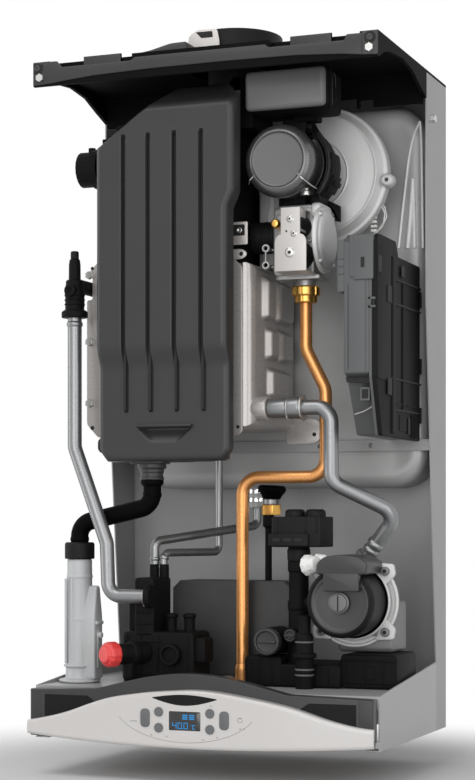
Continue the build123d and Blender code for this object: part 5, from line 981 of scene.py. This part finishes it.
relief_body = [lathe(spot(-20), RELIEF_AXIS,
                     [(0, 11.9), (12, 11.9), (14, 13.2), (20, 13.4), (22, 11.9), (36, 11.6), (39.8, 9.8),
                      (39.9, 0.02)],
                     56),
               lathe(spot(2), DOWN,
                     [(0, 6.9), (22, 6.9), (24, 7), (27.8, 6.6), (27.8, 4.6), (25, 4.4), (25, 0.02)], 40)]
relief_body += [lathe(spot(-4 + 3 * k), RELIEF_AXIS, [(0, 12), (0.5, 13.4), (1.5, 13.4), (2, 12)], 48,
                      size=0)
                for k in range(2)]
piece("relief_valve_moulding", "glass_filled_black_nylon", relief_body, node="safety_valve")
knob = [lathe(spot(20.3), RELIEF_AXIS,
              [(0, 11), (0, 13.6), (1.5, 14.2), (10.5, 14.0), (13.4, 12.2), (14, 10.2), (15.8, 9.8),
               (16.8, 8.2), (16.9, 0.02)],
              96, grip(12, 0.035, -0.2), size=1.0),
        rod(spot(20.3), -RELIEF_AXIS, 3, 10, 24)]
piece("relief_knob_red", "red_polyamide", knob, body="relief_knob", node="safety_knob")

# %% Right manifold, filter, drain
right = [brick((22.2, 66), (-195.8, -152.2), (DECK, 91.8), 2.5, "y", 5),
         brick((64, 134), (-195.8, -112.2), (DECK, 83.8), 2.5, "y", 4),
         brick((132, 195.8), (-189.8, -112.2), (DECK, 95.8), 2.5, "y", 5)]
right += [port((51, -195.9, 108), WALL,
               [(0, 6.05), (0, 15.4), (2, 15.5), (4, 14.6), (8, 14.6), (9, 15.5), (12, 15.5), (40, 15.3),
                (40, 6), (0, 6.05)],
               56),
          port((75.5, -189.9, 115), WALL, [(0, 3.05), (0, 7.9), (24, 7.9), (24, 3), (0, 3.05)], 36),
          port((78, -172, 80), UP,
               [(0, 4.1), (0, 12.4), (30, 12.4), (32, 11.4), (62, 11.4), (64, 12.4), (72, 12.4), (74, 11),
                (104, 11), (106, 12.4), (116, 12.4), (116, 4.1), (0, 4.1)],
               48),
          port((84, -172, 150), RIGHT,
               [(0, 7.9), (9, 7.9), (10, 7), (11.9, 7), (11.9, 5), (9, 4.5), (9, 0.02)], 32),
          port((96, -205, 58), UP,
               [(0, 7.6), (0, 9.9), (33, 9.9), (34, 13.3), (38.5, 13.3), (39.5, 9.9), (56, 9.9), (60, 8.4),
                (61, 6.9), (79, 6.9), (80, 5.6), (80, 0.02), (0, 0.02)],
               48)]
for x in (26, 40, 54, 84, 120, 140, 160, 180):
    right.append(brick((x, x + 2), (-196.6 if x < 134 else -190.6, -186), (62, 80 if 66 < x < 134 else 90),
                       0.5, "x", 0.5))
for z in (64, 88):
    right.append(brick((136, 194), (-190.6, -186), (z, z + 2), 0.5, "x", 0.5))
right.append(port((166, -189.5, 77), FRONT, [(-3, 9), (0.6, 9), (0.8, 6.4), (-2, 6), (-2, 0.02)], 36))
piece("right_hydraulic_moulding", "glass_filled_black_nylon", right, node="return_manifold")
rings = [lathe((96, -205, z), UP, [(0, 9.95), (0.3, 10.6), (1.9, 10.6), (2.2, 9.95)], 44, size=0)
         for z in (72, 78, 108)]
piece("meter_tube_bands", "grey_polycarbonate", rings)

# %% Filter cap and drain screw
fx, fy, fz = seat = (51.0, -196.3, 108.0)
cap = [lathe(seat, FRONT, [(0, 0.02), (0, 15.4), (7.6, 15.2), (9, 13.8), (9, 12), (6, 11.4), (6, 0.02)], 80,
             grip(20, 0.02), size=0.6),
       brick((fx - 11, fx + 11), (fy - 9, fy - 6), (fz - 1.5, fz + 1.5), 0.6), rod(seat, WALL, 6, 8, 32)]
piece("filter_cap_slotted", "graphite_polypropylene", cap, body="filter_cover", node="filter_cap")
dx, dy, dz = seat = (75.5, -190.3, 115.0)
tap = [lathe(seat, FRONT, [(0, 0.02), (0, 7.4), (5, 7.3), (6, 6.4), (6, 4.8), (4.5, 4.2), (4.5, 0.02)], 60,
             grip(10, 0.04), size=0.4),
       brick((dx - 6, dx + 6), (dy - 8.4, dy - 4.5), (dz - 1.3, dz + 1.3), 0.5), rod(seat, WALL, 3, 10, 24)]
piece("drain_screw_grip", "graphite_polypropylene", tap, body="drain_screw", node="drain_tap")

# %% Diverter actuator and pressure sensor
actuator = [brick((53.4, 111.8), (-195.8, -150.2), (212.2, 245.8), 1.5, "z", 4),
            brick((51.6, 98), (-199.8, -195), (213.2, 227), 1, "y", 1.5)]
for x in (73.6, 97.6):
    actuator += [lathe((x, -172, 245), UP, [(0, 11.4), (6, 11.2), (8, 10), (9, 8), (9, 0.02)], 60, size=0.8)]
actuator += [lathe((78, -172, 196.2), UP,
                   [(0, 4.1), (0, 12.4), (3, 12.9), (12, 12.9), (16, 11.6), (16, 4.1), (0, 4.1)], 56)]
for x in (60, 92.6, 93.6, 106):
    actuator.append(brick((x, x + 1.6), (-196.8, -194), (228, 244), 0.4, "x", 0.4))
piece("diverter_actuator_box", "satin_black_nylon", actuator, node="diverter_motor")
piece("actuator_plug_slots", "shadowed_recess",
      [plate("y", [(x, 218.4), (x + 9, 218.4), (x + 9, 222), (x, 222)], (-200.0, -199.7), 0, 0)
       for x in (56.6, 69.6, 82.6)])

# %% Pressure sensor
SENSOR = (20.0, -112.0)
piece("pressure_sensor_riser", "glass_filled_black_nylon",
      [lathe((*SENSOR, 173), UP, [(0, 3.9), (60, 3.9), (62, 6.5), (75, 6.5), (75, 4)], 36)],
      node="pressure_sensor")
piece("pressure_sensor_brass", "turned_brass",
      [slab(ngon(6, 12.2), (SENSOR[0] + 3, SENSOR[1], 247.6), UP, 12.4, 0.8, 1.0)])
piece("pressure_sensor_ring", "drawn_zinc_tube",
      [lathe((SENSOR[0] + 3, SENSOR[1], 259.6), UP,
             [(0, 4), (0, 8.6), (6.6, 8.6), (7.4, 7), (7.4, 4), (0, 4)], 48)])
piece("pressure_sensor_boot", "ribbed_rubber",
      [lathe((SENSOR[0] + 3.6, SENSOR[1], 266.5), (0.06, 0, 1),
             [(0, 10), (4, 12), (9, 16), (13, 16.4), (15.6, 13.6), (15.8, 0.02), (0, 0.02), (0, 10)], 56,
             size=1.5)])

# %% [markdown]
# ## Pump
# A wet-rotor circulator: grey cast volute with a square flange, black motor can with a dished
# front, a terminal box on top and the slotted bleed screw that everyone knows in the middle.

# %% Pump
PX, PZ = 139.0, 152.5  # axis of the pump
square = [(PX - 38, PZ - 38), (PX + 38, PZ - 38), (PX + 38, PZ + 38), (PX - 38, PZ + 38)]
volute = [plate("y", square, (-163.9, -160.2), 14, 1.0),
          lathe((PX, -161, PZ), WALL,
                [(0, 26), (0, 43.8), (3, 43.8), (20, 43.4), (42, 40), (54, 33), (56.8, 26), (56.8, 0.02),
                 (46, 0.02), (46, 26), (0, 26)],
                96, size=3.0),
          brick((PX - 20, PX + 43.8), (-159, -104.5), (96.2, PZ), 4, "x", 6)]
ends = np.array(return_run[-2:], float)
way = (ends[1] - ends[0]) / np.linalg.norm(ends[1] - ends[0])
volute.append(lathe(ends[1], way,
                    [(0, 7.6), (0, 11.8), (4, 11.9), (6, 10.6), (16, 11.2), (24, 11.8), (24, 0.02),
                     (0.1, 0.02)],
                    48))
for angle in range(20, 160, 20):
    c, s = cos(radians(angle)), sin(radians(angle))
    volute.append(tube([(PX + 43 * c, -150, PZ + 43 * s), (PX + 40 * c, -118, PZ + 40 * s)], 1.2, 1, 10))
piece("pump_volute_casting", "coated_grey_iron", volute, node="pump_volute")

# %% Pump flange
PUMP_EARS = [(sx * 37, sz * 33.5) for sx in (-1, 1) for sz in (-1, 1)]
flange = [lathe((PX, -164.1, PZ), FRONT,
                [(0, 40.5), (0, 43.2), (3.6, 43), (4.2, 42), (4.2, 40.9), (3.6, 40.5), (0, 40.5)], 96,
                size=0.4),
          lathe((PX, -160.4, PZ), FRONT,
                [(0, 38.5), (0, 51), (2, 51), (2.8, 50), (2.8, 47.8), (0.8, 47), (0.8, 38.5), (0, 38.5)], 96,
                size=0.4)]
for ex, ez in PUMP_EARS:
    sx, sz = np.sign(ex), np.sign(ez)
    ear = [(PX + ex - sx * 12, PZ + ez + sz * 9), (PX + ex + sx * 9, PZ + ez + sz * 8),
           (PX + ex + sx * 11, PZ + ez - sz * 4), (PX + ex + sx * 1, PZ + ez - sz * 15),
           (PX + ex - sx * 6, PZ + ez - sz * 6)]
    flange.append(plate("y", ear, (-165.6, -160.4), 3, 0.8))
piece("pump_flange_bright", "blasted_cast_aluminium", flange)
screws, wells = [], []
for ex, ez in PUMP_EARS:
    x, z = PX + ex, PZ + ez
    screws.append(lathe((x, -165, z), FRONT, [(0, 5), (3.6, 5), (4.6, 4.2), (4.8, 2.6), (4.8, 0.02)], 40,
                        size=0.4))
    wells.append(plate("y", ngon(6, 2.4, (x, z)), (-170.0, -169.75), 0, 0))
piece("pump_flange_screws", "coated_grey_iron", screws)
piece("pump_screw_sockets", "shadowed_recess", wells)

# %% Pump motor
can = [lathe((PX, -164.2, PZ), FRONT,
             [(0, 26), (0, 37.9), (44, 37.9), (48.5, 36.4), (50.6, 33.8), (50.8, 30), (49.6, 28), (49.6, 4.1),
              (40, 4.1), (40, 26), (0, 26)],
             96, size=1.6)]
roof = [(PX - 24, 183), (PX + 32, 183), (PX + 34, 196), (PX + 24, 202.8), (PX + 2, 204.8), (PX - 16, 202),
        (PX - 24, 195)]
can += [plate("y", roof, (-222.8, -164.2), 4, 2.0),
        plate("y", [(PX - 16, 165), (PX + 24, 165), (PX + 24, 185), (PX - 16, 185)], (-222.8, -213), 2, 1.2)]
piece("pump_motor_can", "enamelled_motor_can", can, node="pump_motor")
piece("pump_can_sleeve", "satin_black_nylon",
      [lathe((PX, -166, PZ), FRONT,
             [(0, 37), (0, 38.4), (43.4, 38.4), (48.2, 36.8), (50.9, 34), (50.9, 33), (45, 33), (0, 37)], 96,
             size=0.6)])
bleed = [lathe((PX, -215.3, PZ), FRONT,
               [(0, 0.02), (0, 11.6), (2.4, 11.6), (2.6, 10), (4.4, 9.8), (5, 9), (5, 0.02)], 64, size=0.4),
         rod((PX, -215.3, PZ), WALL, 4, 9, 28)]
piece("bleed_screw_slotted", "brushed_motor_disc", bleed, body="bleed_screw", node="pump_vent_screw")
piece("bleed_screw_slot", "shadowed_recess",
      [brick((PX - 0.7, PX + 0.7), (-220.6, -220.2), (PZ - 8.6, PZ + 8.6), 0.1)], body="bleed_screw")
piece("pump_cable_gland", "white_nylon",
      [lathe((96.6, -197, 192.4), (0.75, -0.35, 0.1),
             [(0, 12), (5, 11.8), (6, 10.2), (12, 9.4), (15, 8), (16, 0.02), (0, 0.02)], 10, size=1.2),
       lathe((104, -190, 199), (1, 0, -0.1), [(0, 6.4), (12, 6), (13, 0.02)], 24, size=1)])

# %% [markdown]
# ## Expansion vessel and electronics box
# The vessel is two pressed steel halves: a flat face with a deep rolled edge, and a pointed
# stiffening rib where the corner rises, coloured near-white as a painted highlight. The electronics
# box is a grey moulded tray with a black lid whose face is all clip ribs.

# %% Expansion vessel
VESSEL_MID, VESSEL_HALF, VESSEL_CORNER = (10.5, 499.0), (182.2, 218.7), 42.0


def vessel_face():
    """Rolled edge: 15 (1 - cos s) inwards while y falls to -62 + 15 (1 - sin s); the face is dished."""
    angle = sweep(0, 90, 12)
    corner = np.stack([np.cos(angle), np.sin(angle)], 1)
    centre = np.array(VESSEL_HALF) - VESSEL_CORNER
    signs = ((1, 1), (-1, 1), (-1, -1), (1, -1))
    ring = []
    for k, (sx, sz) in enumerate(signs):
        arc = corner if k % 2 == 0 else corner[::-1]
        ring.append(np.stack([sx * (centre[0] + VESSEL_CORNER * arc[:, 0]),
                              sz * (centre[1] + VESSEL_CORNER * arc[:, 1])],
                             1))
    loop = np.concatenate(ring)
    rows = []
    for s in np.linspace(0, pi / 2, 9):
        rows.append((15 * (1 - cos(s)), -62 + 15 * (1 - sin(s))))
    rings = [(inset(loop, 0), -4.2), (inset(loop, 0), rows[0][1])]
    rings += [(inset(loop, w), y) for w, y in rows[1:]]
    rings += [(inset(loop, 20), -61.6), (inset(loop, 26), -60.4), (inset(loop, 40), -60.2)]
    flat = [np.column_stack([q[:, 0] + VESSEL_MID[0], np.full(len(q), y), q[:, 1] + VESSEL_MID[1]])
            for q, y in rings]
    return skin(np.array(flat))


vessel = [vessel_face(), brick((-111, 129), (-4.5, -1.6), (348, 649), 0.8),
          lathe((-22, -36, 284), DOWN, [(0, 11.6), (26.9, 11.4), (26.9, 0.02)], 48)]
piece("expansion_vessel_pressing", "enamelled_vessel_steel", vessel, node="expansion_vessel", sharp=50)
collar = [(0, 11.4), (0, 11.9), (5, 11.9), (5.6, 10.9), (9.4, 10.9), (10, 11.9), (15, 11.9), (15.6, 10.9),
          (20, 10.9), (20, 11.4), (0, 11.4)]
piece("vessel_port_collar", "turned_chrome", [lathe((-22, -36, 279), DOWN, collar, 64, size=0.2)])
# The rib lines below are near-white: a painted highlight along the crease, not the steel's own colour.
arch = ((160.7, 554), (163.0, 576), (165.5, 598.4), (168.2, 621), (171.1, 644.3), (173.2, 659), (176, 672.6),
        (180.5, 687), (185.6, 698.4))
fall = ((185.6, 698.4), (186.9, 680), (187.3, 664), (188, 610), (188.8, 553))
spear = ((171.4, 553.4), (173.2, 572), (174.9, 590), (176.4, 612), (177.8, 633))
spine = ((177.8, 633), (178.6, 612), (179.2, 585), (179.6, 553.2))
press = [tube([(x, -61.6 + max(0, x - 180) * 0.28, z) for x, z in line], r, 30, 12)
         for line, r in ((arch, 1.6), (fall, 1.5), (spear, 2.5), (spine, 2.2))]
piece("vessel_rib_painted_highlight", "painted_crease_highlight", press)

# %% Electronics box
Y0, Y1, Z0, Z1 = -235.0, -65.0, 332.0, 547.0  # limits of the tray
outline = [(Y0 + 22, Z0), (Y1, Z0), (Y1, Z1 - 16), (Y1 - 86, Z1 - 16), (Y1 - 96, Z1), (Y0 + 10, Z1),
           (Y0, Z1 - 10), (Y0, Z0 + 62)]
low_front = [(Y0 + 46, Z0 + 2), (Y1, Z0 + 2), (Y1, Z1 - 16), (Y1 - 86, Z1 - 16), (Y1 - 96, Z1), (Y0 + 10, Z1),
             (Y0, Z1 - 10), (Y0, Z0 + 66), (Y0 + 12, Z0 + 62)]
tray = [plate("x", low_front, (150.2, 179), 2, 2.2), plate("x", outline, (178.4, 181.8), 2, 1.2),
        brick((142.2, 151), (Y0 + 2, Y0 + 30), (Z1 - 62, Z1 - 6), 1.2, "y", 2),
        brick((161.5, 183.8), (Y0 - 1.8, Y0 + 8), (Z1 - 50, Z1 - 4), 1.0, "y", 2),
        brick((174.6, 175.6), (Y0 - 0.6, Y0 + 2), (Z0 + 68, Z1 - 50), 0.3),
        brick((157, 183.6), (Y0 - 1.2, Y0 + 4), (Z1 - 47, Z1 - 2), 1, "y", 1.5),
        brick((178, 186), (Y0 - 1.4, Y0 + 1), (467, 469.6), 0.5),
        brick((178, 186), (Y0 - 1.4, Y0 + 1), (475.6, 478.4), 0.5),
        brick((178, 181), (Y0 - 1.4, Y0 + 1), (467, 478.4), 0.5)]
for z in (504, 512, 520):
    tray.append(brick((143, 150), (Y0 + 1.4, Y0 + 4), (z, z + 1.4), 0.4))
for x, low, high in ((154.2, 500, 535), (157.8, 506, 523)):
    tray.append(brick((x, x + 1.2), (Y0 + 15, Y0 + 17), (low, high), 0.4))
piece("electronics_tray", "grey_polycarbonate", tray, node="control_box")

# %% Service socket and gaps
rim = [(165.9, 369.1), (176.7, 369.1), (176.7, 383.7), (165.9, 383.7)]
piece("service_socket_frame", "bright_zinc_bracket",
      [tube([(154, -206.6, 356), (165, -209.6, 358.6), (176, -213.4, 363.6)], 0.7, 3, 8)])
piece("service_socket_rim", "grey_polycarbonate", [plate("y", rim, (-226, -212), 0.8, 0.3)])
gaps = [brick((167.9, 174.9), (-226.4, -225.8), (371.4, 381.4), 0.1),
        brick((155.2, 155.7), (Y0 - 0.3, Y0 + 0.2), (Z0 + 70, Z1 - 54), 0.1),
        brick((170, 174.2), (Y0 - 2, Y0 - 1.6), (510, 521), 0.1),
        plate("y", [(151, 394.6), (178.2, 391.6), (178.2, 387), (152, 389)], (-229.6, -226), 0.5, 0.2),
        brick((181.6, 185), (Y0 - 0.4, Y0 + 0.4), (470, 475), 0.1)]
piece("electronics_tray_openings", "shadowed_recess", gaps)

# %% Electronics lid
lid = [plate("x", outline, (182.1, 186.8), 2, 1.2),
       brick((186, 188.9), (-181, -167.5), (Z0 + 4, Z1 - 18), 1.2, "x", 3),
       brick((186, 188), (-235.2, -183), (Z0 + 60, Z1 - 8), 1.2, "x", 5),
       brick((186, 188.6), (-139, -136.8), (364, 504.5), 0.6)]
for y, z in ((-163, 500), (-120, 500), (-163, 392), (-120, 392), (-150, 340)):
    lid.append(brick((186, 187.6), (y, y + 40), (z, z + 18) if z == 340 else (z - 24, z - 21), 0.6, "x", 1))
lid += [brick((186, 189), (-67, -65), (z, z + 18), 0.6) for z in (352, 408, 484)]
lid += [brick((186, 188.8), (y, y + 1.6), (334, 360), 0.4) for y in (-104, -98, -90)]
piece("electronics_lid", "matt_black_polycarbonate", lid, node="control_box_cover")
gaps = [brick((188, 189.1), (y, y + wide), (z, z + high), 0.1)
        for y, wide, z, high in ((-200, 15, 477, 18), (-199, 15, 377, 18), (-147, 12, 510, 12),
                                 (-120, 7, 338, 18), (-234, 12, 505, 18))]
for a, b in (((-167, 504.7), (-66, 505.4)), ((-185, 477.9), (-66, 478.8)), ((-184, 396), (-66, 396.5)),
             ((-171, 362.3), (-66, 363.2))):
    gaps.append(tube([(187.6, a[0], a[1]), (187.6, b[0], b[1])], 1.1, 1, 8))
piece("electronics_lid_gaps", "shadowed_recess", gaps)

# %% [markdown]
# ## Control panel
# The dark frame is moulded with an arched top edge and a recess at either end; the glossy fascia
# bulges in front of it. Its surface is y(x, z): a circle in plan, eased back at the outline.

# %% Bezel and fascia
def bezel_top(x):
    """Arched top edge: 55.5 at the ends, a round that rises to 77 in the middle, with eased feet."""
    s = np.clip(1 - np.abs(x + 8) / 124, 0, 1)
    return 55.5 + 21.5 * np.sin(s * pi / 2) ** 1.2


xs = np.concatenate([[-198, -120], np.linspace(-116, 98, 48), [104, 198]])
bezel_outline = [(x, z) for x, z in zip(xs, bezel_top(xs))] + [(198, 4.2), (-198, 4.2)]
bezel = [plate("y", bezel_outline, (-283.8, -268.2), 0, 1.6)]
for side in (-1, 1):
    low, high = sorted((side * 197, side * 182))
    bezel.append(brick((low, high), (-283.9, -270), (20, 55), 1.2, "y", 1.5))
piece("panel_bezel_moulding", "graphite_polypropylene", bezel, body="control_panel", node="panel_bezel")
recess = [plate("y", [(sx * 180, 50), (sx * 128, 50), (sx * 110, 38), (sx * 140, 32), (sx * 180, 26)],
                (-284.0, -283.6), 1, 0)
          for sx in (-1, 1)]
piece("bezel_end_recesses", "satin_black_nylon", recess, body="control_panel")


# %% Fascia
FASCIA_TOP = soften([(-202, 21.4), (-174, 26.5), (-148, 33.2), (-120, 43.6), (-95, 51.2), (-50, 57.8),
                     (-2, 61.4), (21, 60.6), (43, 57.9), (66, 54.3), (88, 50.6), (110, 46.2), (131, 40.2),
                     (147, 35), (166, 30.4), (184, 27), (202, 25.4)],
                    14, 7)


def fascia_limits(x):
    """Bottom and top edge of the fascia at each x: a shallow bow below, a bell above."""
    bottom = -2 + 8.0 * ((x - 8) / 205) ** 2
    return bottom, np.interp(x, FASCIA_TOP[:, 0], FASCIA_TOP[:, 1]) - 0.4


def fascia_face(x, z):
    """y = -300 at the middle, falling back as a circle to -288 at the ends, eased over 4 mm at the rim."""
    radius = 199.7 ** 2 / (2 * 12) + 6
    y = -300 + radius - np.sqrt(radius ** 2 - x ** 2)
    low, high = fascia_limits(x)
    rim = np.clip(1 - np.minimum(z - low, high - z) / 4.0, 0, 1)
    return y + 3.6 * (1 - np.sqrt(1 - np.minimum(rim, 0.999) ** 2))


x = -199.6 + 399.2 * np.linspace(0, 1, 240)
share = 0.5 - 0.5 * np.cos(np.linspace(0, pi, 44))
low, high = fascia_limits(x)
X = np.repeat(x[:, None], len(share), 1)
Z = low[:, None] + (high - low)[:, None] * share[None]
front = np.stack([X, fascia_face(X, Z), Z], -1)
back = np.stack([X, np.full_like(X, -284.1), Z], -1)
piece("fascia_glossy_moulding", "gloss_grey_abs", [pressing(front, back)], body="control_panel",
      node="fascia", sharp=50)


# %% Badge lens and display
def on_fascia(name, material, outline, rise):
    """Thin piece that follows the bulge: the outline's points lie on the fascia, rise mm proud."""
    points = np.asarray(outline, float)
    centre = points.mean(0)
    rings = []
    for scale, high_by in ((1, -1.2), (1, rise - 0.15), (0.985, rise), (0.6, rise), (0.2, rise),
                           (0.01, rise)):
        q = centre + (points - centre) * scale
        rings.append(np.column_stack([q[:, 0], fascia_face(q[:, 0], np.full(len(q), 30.0)) - high_by,
                                      q[:, 1]]))
    piece(name, material, [skin(np.array(rings))], body="control_panel")


lens = [(x, mid + rise * cos(pi / 2 * (x + 6.5) / 38))
        for mid, rise, ends in ((52.2, 3.8, (-43.5, 30.5)), (51.8, -7.4, (30.5, -43.5)))
        for x in np.linspace(*ends, 30)]
on_fascia("badge_lens_blank", "satin_black_nylon", lens, 0.25)


def rounded_box(cx, cz, wide, high, corner):
    """Rectangle with rounded corners, as points."""
    corners = [(cx + sx * wide / 2, cz + sz * high / 2) for sx, sz in ((-1, -1), (1, -1), (1, 1), (-1, 1))]
    return soften(corners, corner, 6, loop=True)


on_fascia("display_window", "smoked_display_glass", rounded_box(-6, 28, 36.4, 20.4, 1.5), 0.2)
window = [brick((-23.5, 11.5), (-299.4, -298.2), (18.5, 37.5), 0.3),
          brick((-84, 72), (-287.6, -286), (10, 42), 0.3)]
piece("display_board", "glass_epoxy_board", window, body="control_panel", node="display_module")
LIT = (-300.45, -300)  # y limits of a lit bar, just proud of the window
SEGMENTS = {"4": "bcfg", "0": "abcdef", "C": "adef"}
SHAPES = {"a": ((0, 4), (2, 4)), "b": ((2, 2), (2, 4)), "c": ((2, 0), (2, 2)), "d": ((0, 0), (2, 0)),
          "e": ((0, 0), (0, 2)), "f": ((0, 2), (0, 4)), "g": ((0, 2), (2, 2))}


def digit(symbol, x, z, size):
    """Bars of a seven-segment symbol, drawn as small flat boxes."""
    bars = []
    for key in SEGMENTS[symbol]:
        (ax, az), (bx, bz) = SHAPES[key]
        lo = (x + min(ax, bx) * size * 1.35, z + min(az, bz) * size)
        hi = (x + max(ax, bx) * size * 1.35, z + max(az, bz) * size)
        bars.append(brick((lo[0] - 0.34, hi[0] + 0.34), LIT, (lo[1] - 0.34, hi[1] + 0.34), 0.05))
    return bars


digits = [bar
          for symbol, x, size in (("4", -19.6, 1.5), ("0", -13.4, 1.5), ("0", -6.6, 1.5), ("C", 3.4, 0.95))
          for bar in digit(symbol, x, 20, size)]
digits += [brick((-8.4, -7.7), LIT, (19.7, 20.5), 0.05), brick((0.9, 1.7), LIT, (23.4, 24.2), 0.05)]
for x in (-8.4, -0.6):
    for row in (29.8, 31.8, 33.8):
        digits += [brick((x, x + 6), LIT, (row, row + 1.1), 0.05)]
piece("display_segments", "backlit_blue_segment", digits, body="control_panel")

# %% Keys
BUTTONS = {"mode_button": (-36, 37), "reset_button": (-36, 20), "auto_button": (23, 37),
           "power_button": (23, 20)}
for name, (bx, bz) in BUTTONS.items():
    key = [lathe((bx, -291, bz), FRONT,
                 [(0, 0.02), (0, 5.15), (9.75, 5.1), (9.9, 4.8), (9.82, 2.5), (9.8, 0.02)], 48, size=0.12)]
    piece(name + "_cap", "grey_key_rubber", key, body=name + "_body", node=name)
for name, (rx, rz) in {"heating_rocker": (-52, 30), "water_rocker": (39, 30)}.items():
    key = [plate("y", rounded_box(rx, rz, 10.9, 19.9, 5.2), (-300.7, -293.9), 0, 1.0)]
    piece(name + "_cap", "grey_key_rubber", key, body=name + "_body", node=name)


# %% Printed legends
def legend(points, width):
    """Printed line along a route on the fascia, as a thin flat strip."""
    p = np.asarray(points, float)
    along = np.gradient(p, axis=0)
    along /= np.linalg.norm(along, axis=1)[:, None]
    side = np.stack([-along[:, 1], along[:, 0]], 1) * width / 2
    a, b = p + side, p - side
    grid = [np.column_stack([q[:, 0], fascia_face(q[:, 0], np.full(len(q), 30.0)) - h, q[:, 1]])
            for q, h in ((a, 0.12), (b, 0.12), (b, -0.4), (a, -0.4))]
    rings = np.stack(grid, 1)
    return skin(rings)


smile = [(-6.5 + 84 * sin(a), 47 - 42 * cos(a)) for a in sweep(-66, 66, 60)]
marks = [legend(smile, 0.5)]
for x, z in ((-70, 26), (-67, 26), (-64, 26), (56, 33), (56, 22), (60, 22), (-46, 12), (-28, 11), (14, 9),
             (30, 12), (23, 45)):
    marks.append(legend([(x, z), (x + 1.2, z), (x + 2.2, z)], 1.1))
ring = [(56.8 + 2.6 * cos(a), 31 + 2.6 * sin(a)) for a in np.linspace(0, CIRCLE, 24)]
marks.append(legend(ring, 0.5))
piece("printed_legends", "printed_legend", marks, body="control_panel")

# %% [markdown]
# ## Studio
# The boiler hangs in front of white, over a plain pale floor that fades out, under large soft
# lights: one high in front, a strip on the left, a fill on the right and a broad one in front.

# %% Camera, lights, floor
PICTURE_PX, FOCAL_PX, EYE_ROW_PX = 780, 1906.389, 524.0  # picture height, focal length, row of the eye level
EYE_MM, TURN_DEG = (777.119, -2169.875, 237.635), 21.132
SENSOR_WIDTH_MM = 36.0
scene = bpy.context.scene
scene.view_settings.view_transform = "Standard"
scene.view_settings.look = "None"

camera_data = bpy.data.cameras.new("camera")
camera_data.lens = SENSOR_WIDTH_MM * FOCAL_PX / PICTURE_PX
camera_data.sensor_width = SENSOR_WIDTH_MM
camera_data.shift_y = (EYE_ROW_PX - PICTURE_PX / 2) / PICTURE_PX
camera_data.clip_end = 50.0
camera = bpy.data.objects.new("camera", camera_data)
camera.location = metres(EYE_MM).tolist()
camera.rotation_euler = (pi / 2, 0, radians(TURN_DEG))
scene.collection.objects.link(camera)
scene.camera = camera
print(f"lens {camera_data.lens:.2f} mm, shift {camera_data.shift_y:.4f}")


# %% Lights
def area_light(name, place, target, size, power):
    """White soft box at a place, facing a target, of a width and height, all in metres; power in watts."""
    data = bpy.data.lights.new(name, "AREA")
    data.shape, data.size, data.size_y, data.energy = "RECTANGLE", *size, power
    print(f"{name}: {power} W, {size[0]} x {size[1]} m")
    lamp = bpy.data.objects.new(name, data)
    lamp.location = place
    lamp.rotation_euler = (Vector(target) - Vector(place)).to_track_quat("-Z", "Y").to_euler()
    scene.collection.objects.link(lamp)


for lamp in (("key_overhead", (-0.4, -1.7, 1.5), (0, -0.15, -0.35), (1.6, 1.2), 17),
             ("left_strip", (-1.9, -0.9, -0.1), (0, -0.15, -0.35), (0.7, 1.9), 9),
             ("right_fill", (1.9, -1.5, -0.2), (0, -0.1, -0.35), (1.0, 1.8), 12),
             ("front_soft", (0.5, -2.9, -0.1), (0, -0.1, -0.35), (2.0, 1.8), 29)):
    area_light(*lamp)

# %% World
world = bpy.data.worlds.new("white_studio")
scene.world = world
world.use_nodes = True
tree = world.node_tree
tree.nodes.clear()
# White to the eye, in mirrors and through glass; a weak even light to everything else.
rays = add(tree, "ShaderNodeLightPath").outputs
clear = add(tree, "ShaderNodeMath", {"operation": "MAXIMUM"},
            {0: rays["Is Camera Ray"], 1: rays["Is Transmission Ray"]})
seen = add(tree, "ShaderNodeMath", {"operation": "MAXIMUM"}, {0: clear.outputs[0], 1: rays["Is Glossy Ray"]})
ambient, white = [add(tree, "ShaderNodeBackground", {}, {"Color": (1, 1, 1, 1), "Strength": strength})
                  for strength in (0.3, 1.0)]
both = add(tree, "ShaderNodeMixShader", {}, {0: seen.outputs[0], 1: ambient.outputs[0], 2: white.outputs[0]})
add(tree, "ShaderNodeOutputWorld", {}, {"Surface": both.outputs[0]})

# %% Floor
FLOOR_AT, FLOOR_RADIUS = (0, -0.15, -0.78), 1.4  # metres
FADE = (0.25, 0.6)  # metres; the floor fades out between the two
bpy.ops.mesh.primitive_circle_add(vertices=96, radius=FLOOR_RADIUS, fill_type="NGON", location=FLOOR_AT)
floor = bpy.context.object
floor.name = "studio_floor"
floor_material, tree = empty_material("matt_white_board")
where = add(tree, "ShaderNodeTexCoord")
reach = add(tree, "ShaderNodeVectorMath", {"operation": "LENGTH"}, {0: where.outputs["Object"]})
fade = add(tree, "ShaderNodeMapRange", {"interpolation_type": "SMOOTHSTEP"},
           {"Value": reach.outputs["Value"], "From Min": FADE[0], "From Max": FADE[1], "To Min": 0.0,
            "To Max": 1.0})
board = add(tree, "ShaderNodeBsdfDiffuse", {}, {"Color": (0.86, 0.86, 0.86, 1)})
gone = add(tree, "ShaderNodeBsdfTransparent")
blend = add(tree, "ShaderNodeMixShader", {}, {0: fade.outputs[0], 1: board.outputs[0], 2: gone.outputs[0]})
add(tree, "ShaderNodeOutputMaterial", {}, {"Surface": blend.outputs[0]})
floor.data.materials.append(floor_material)
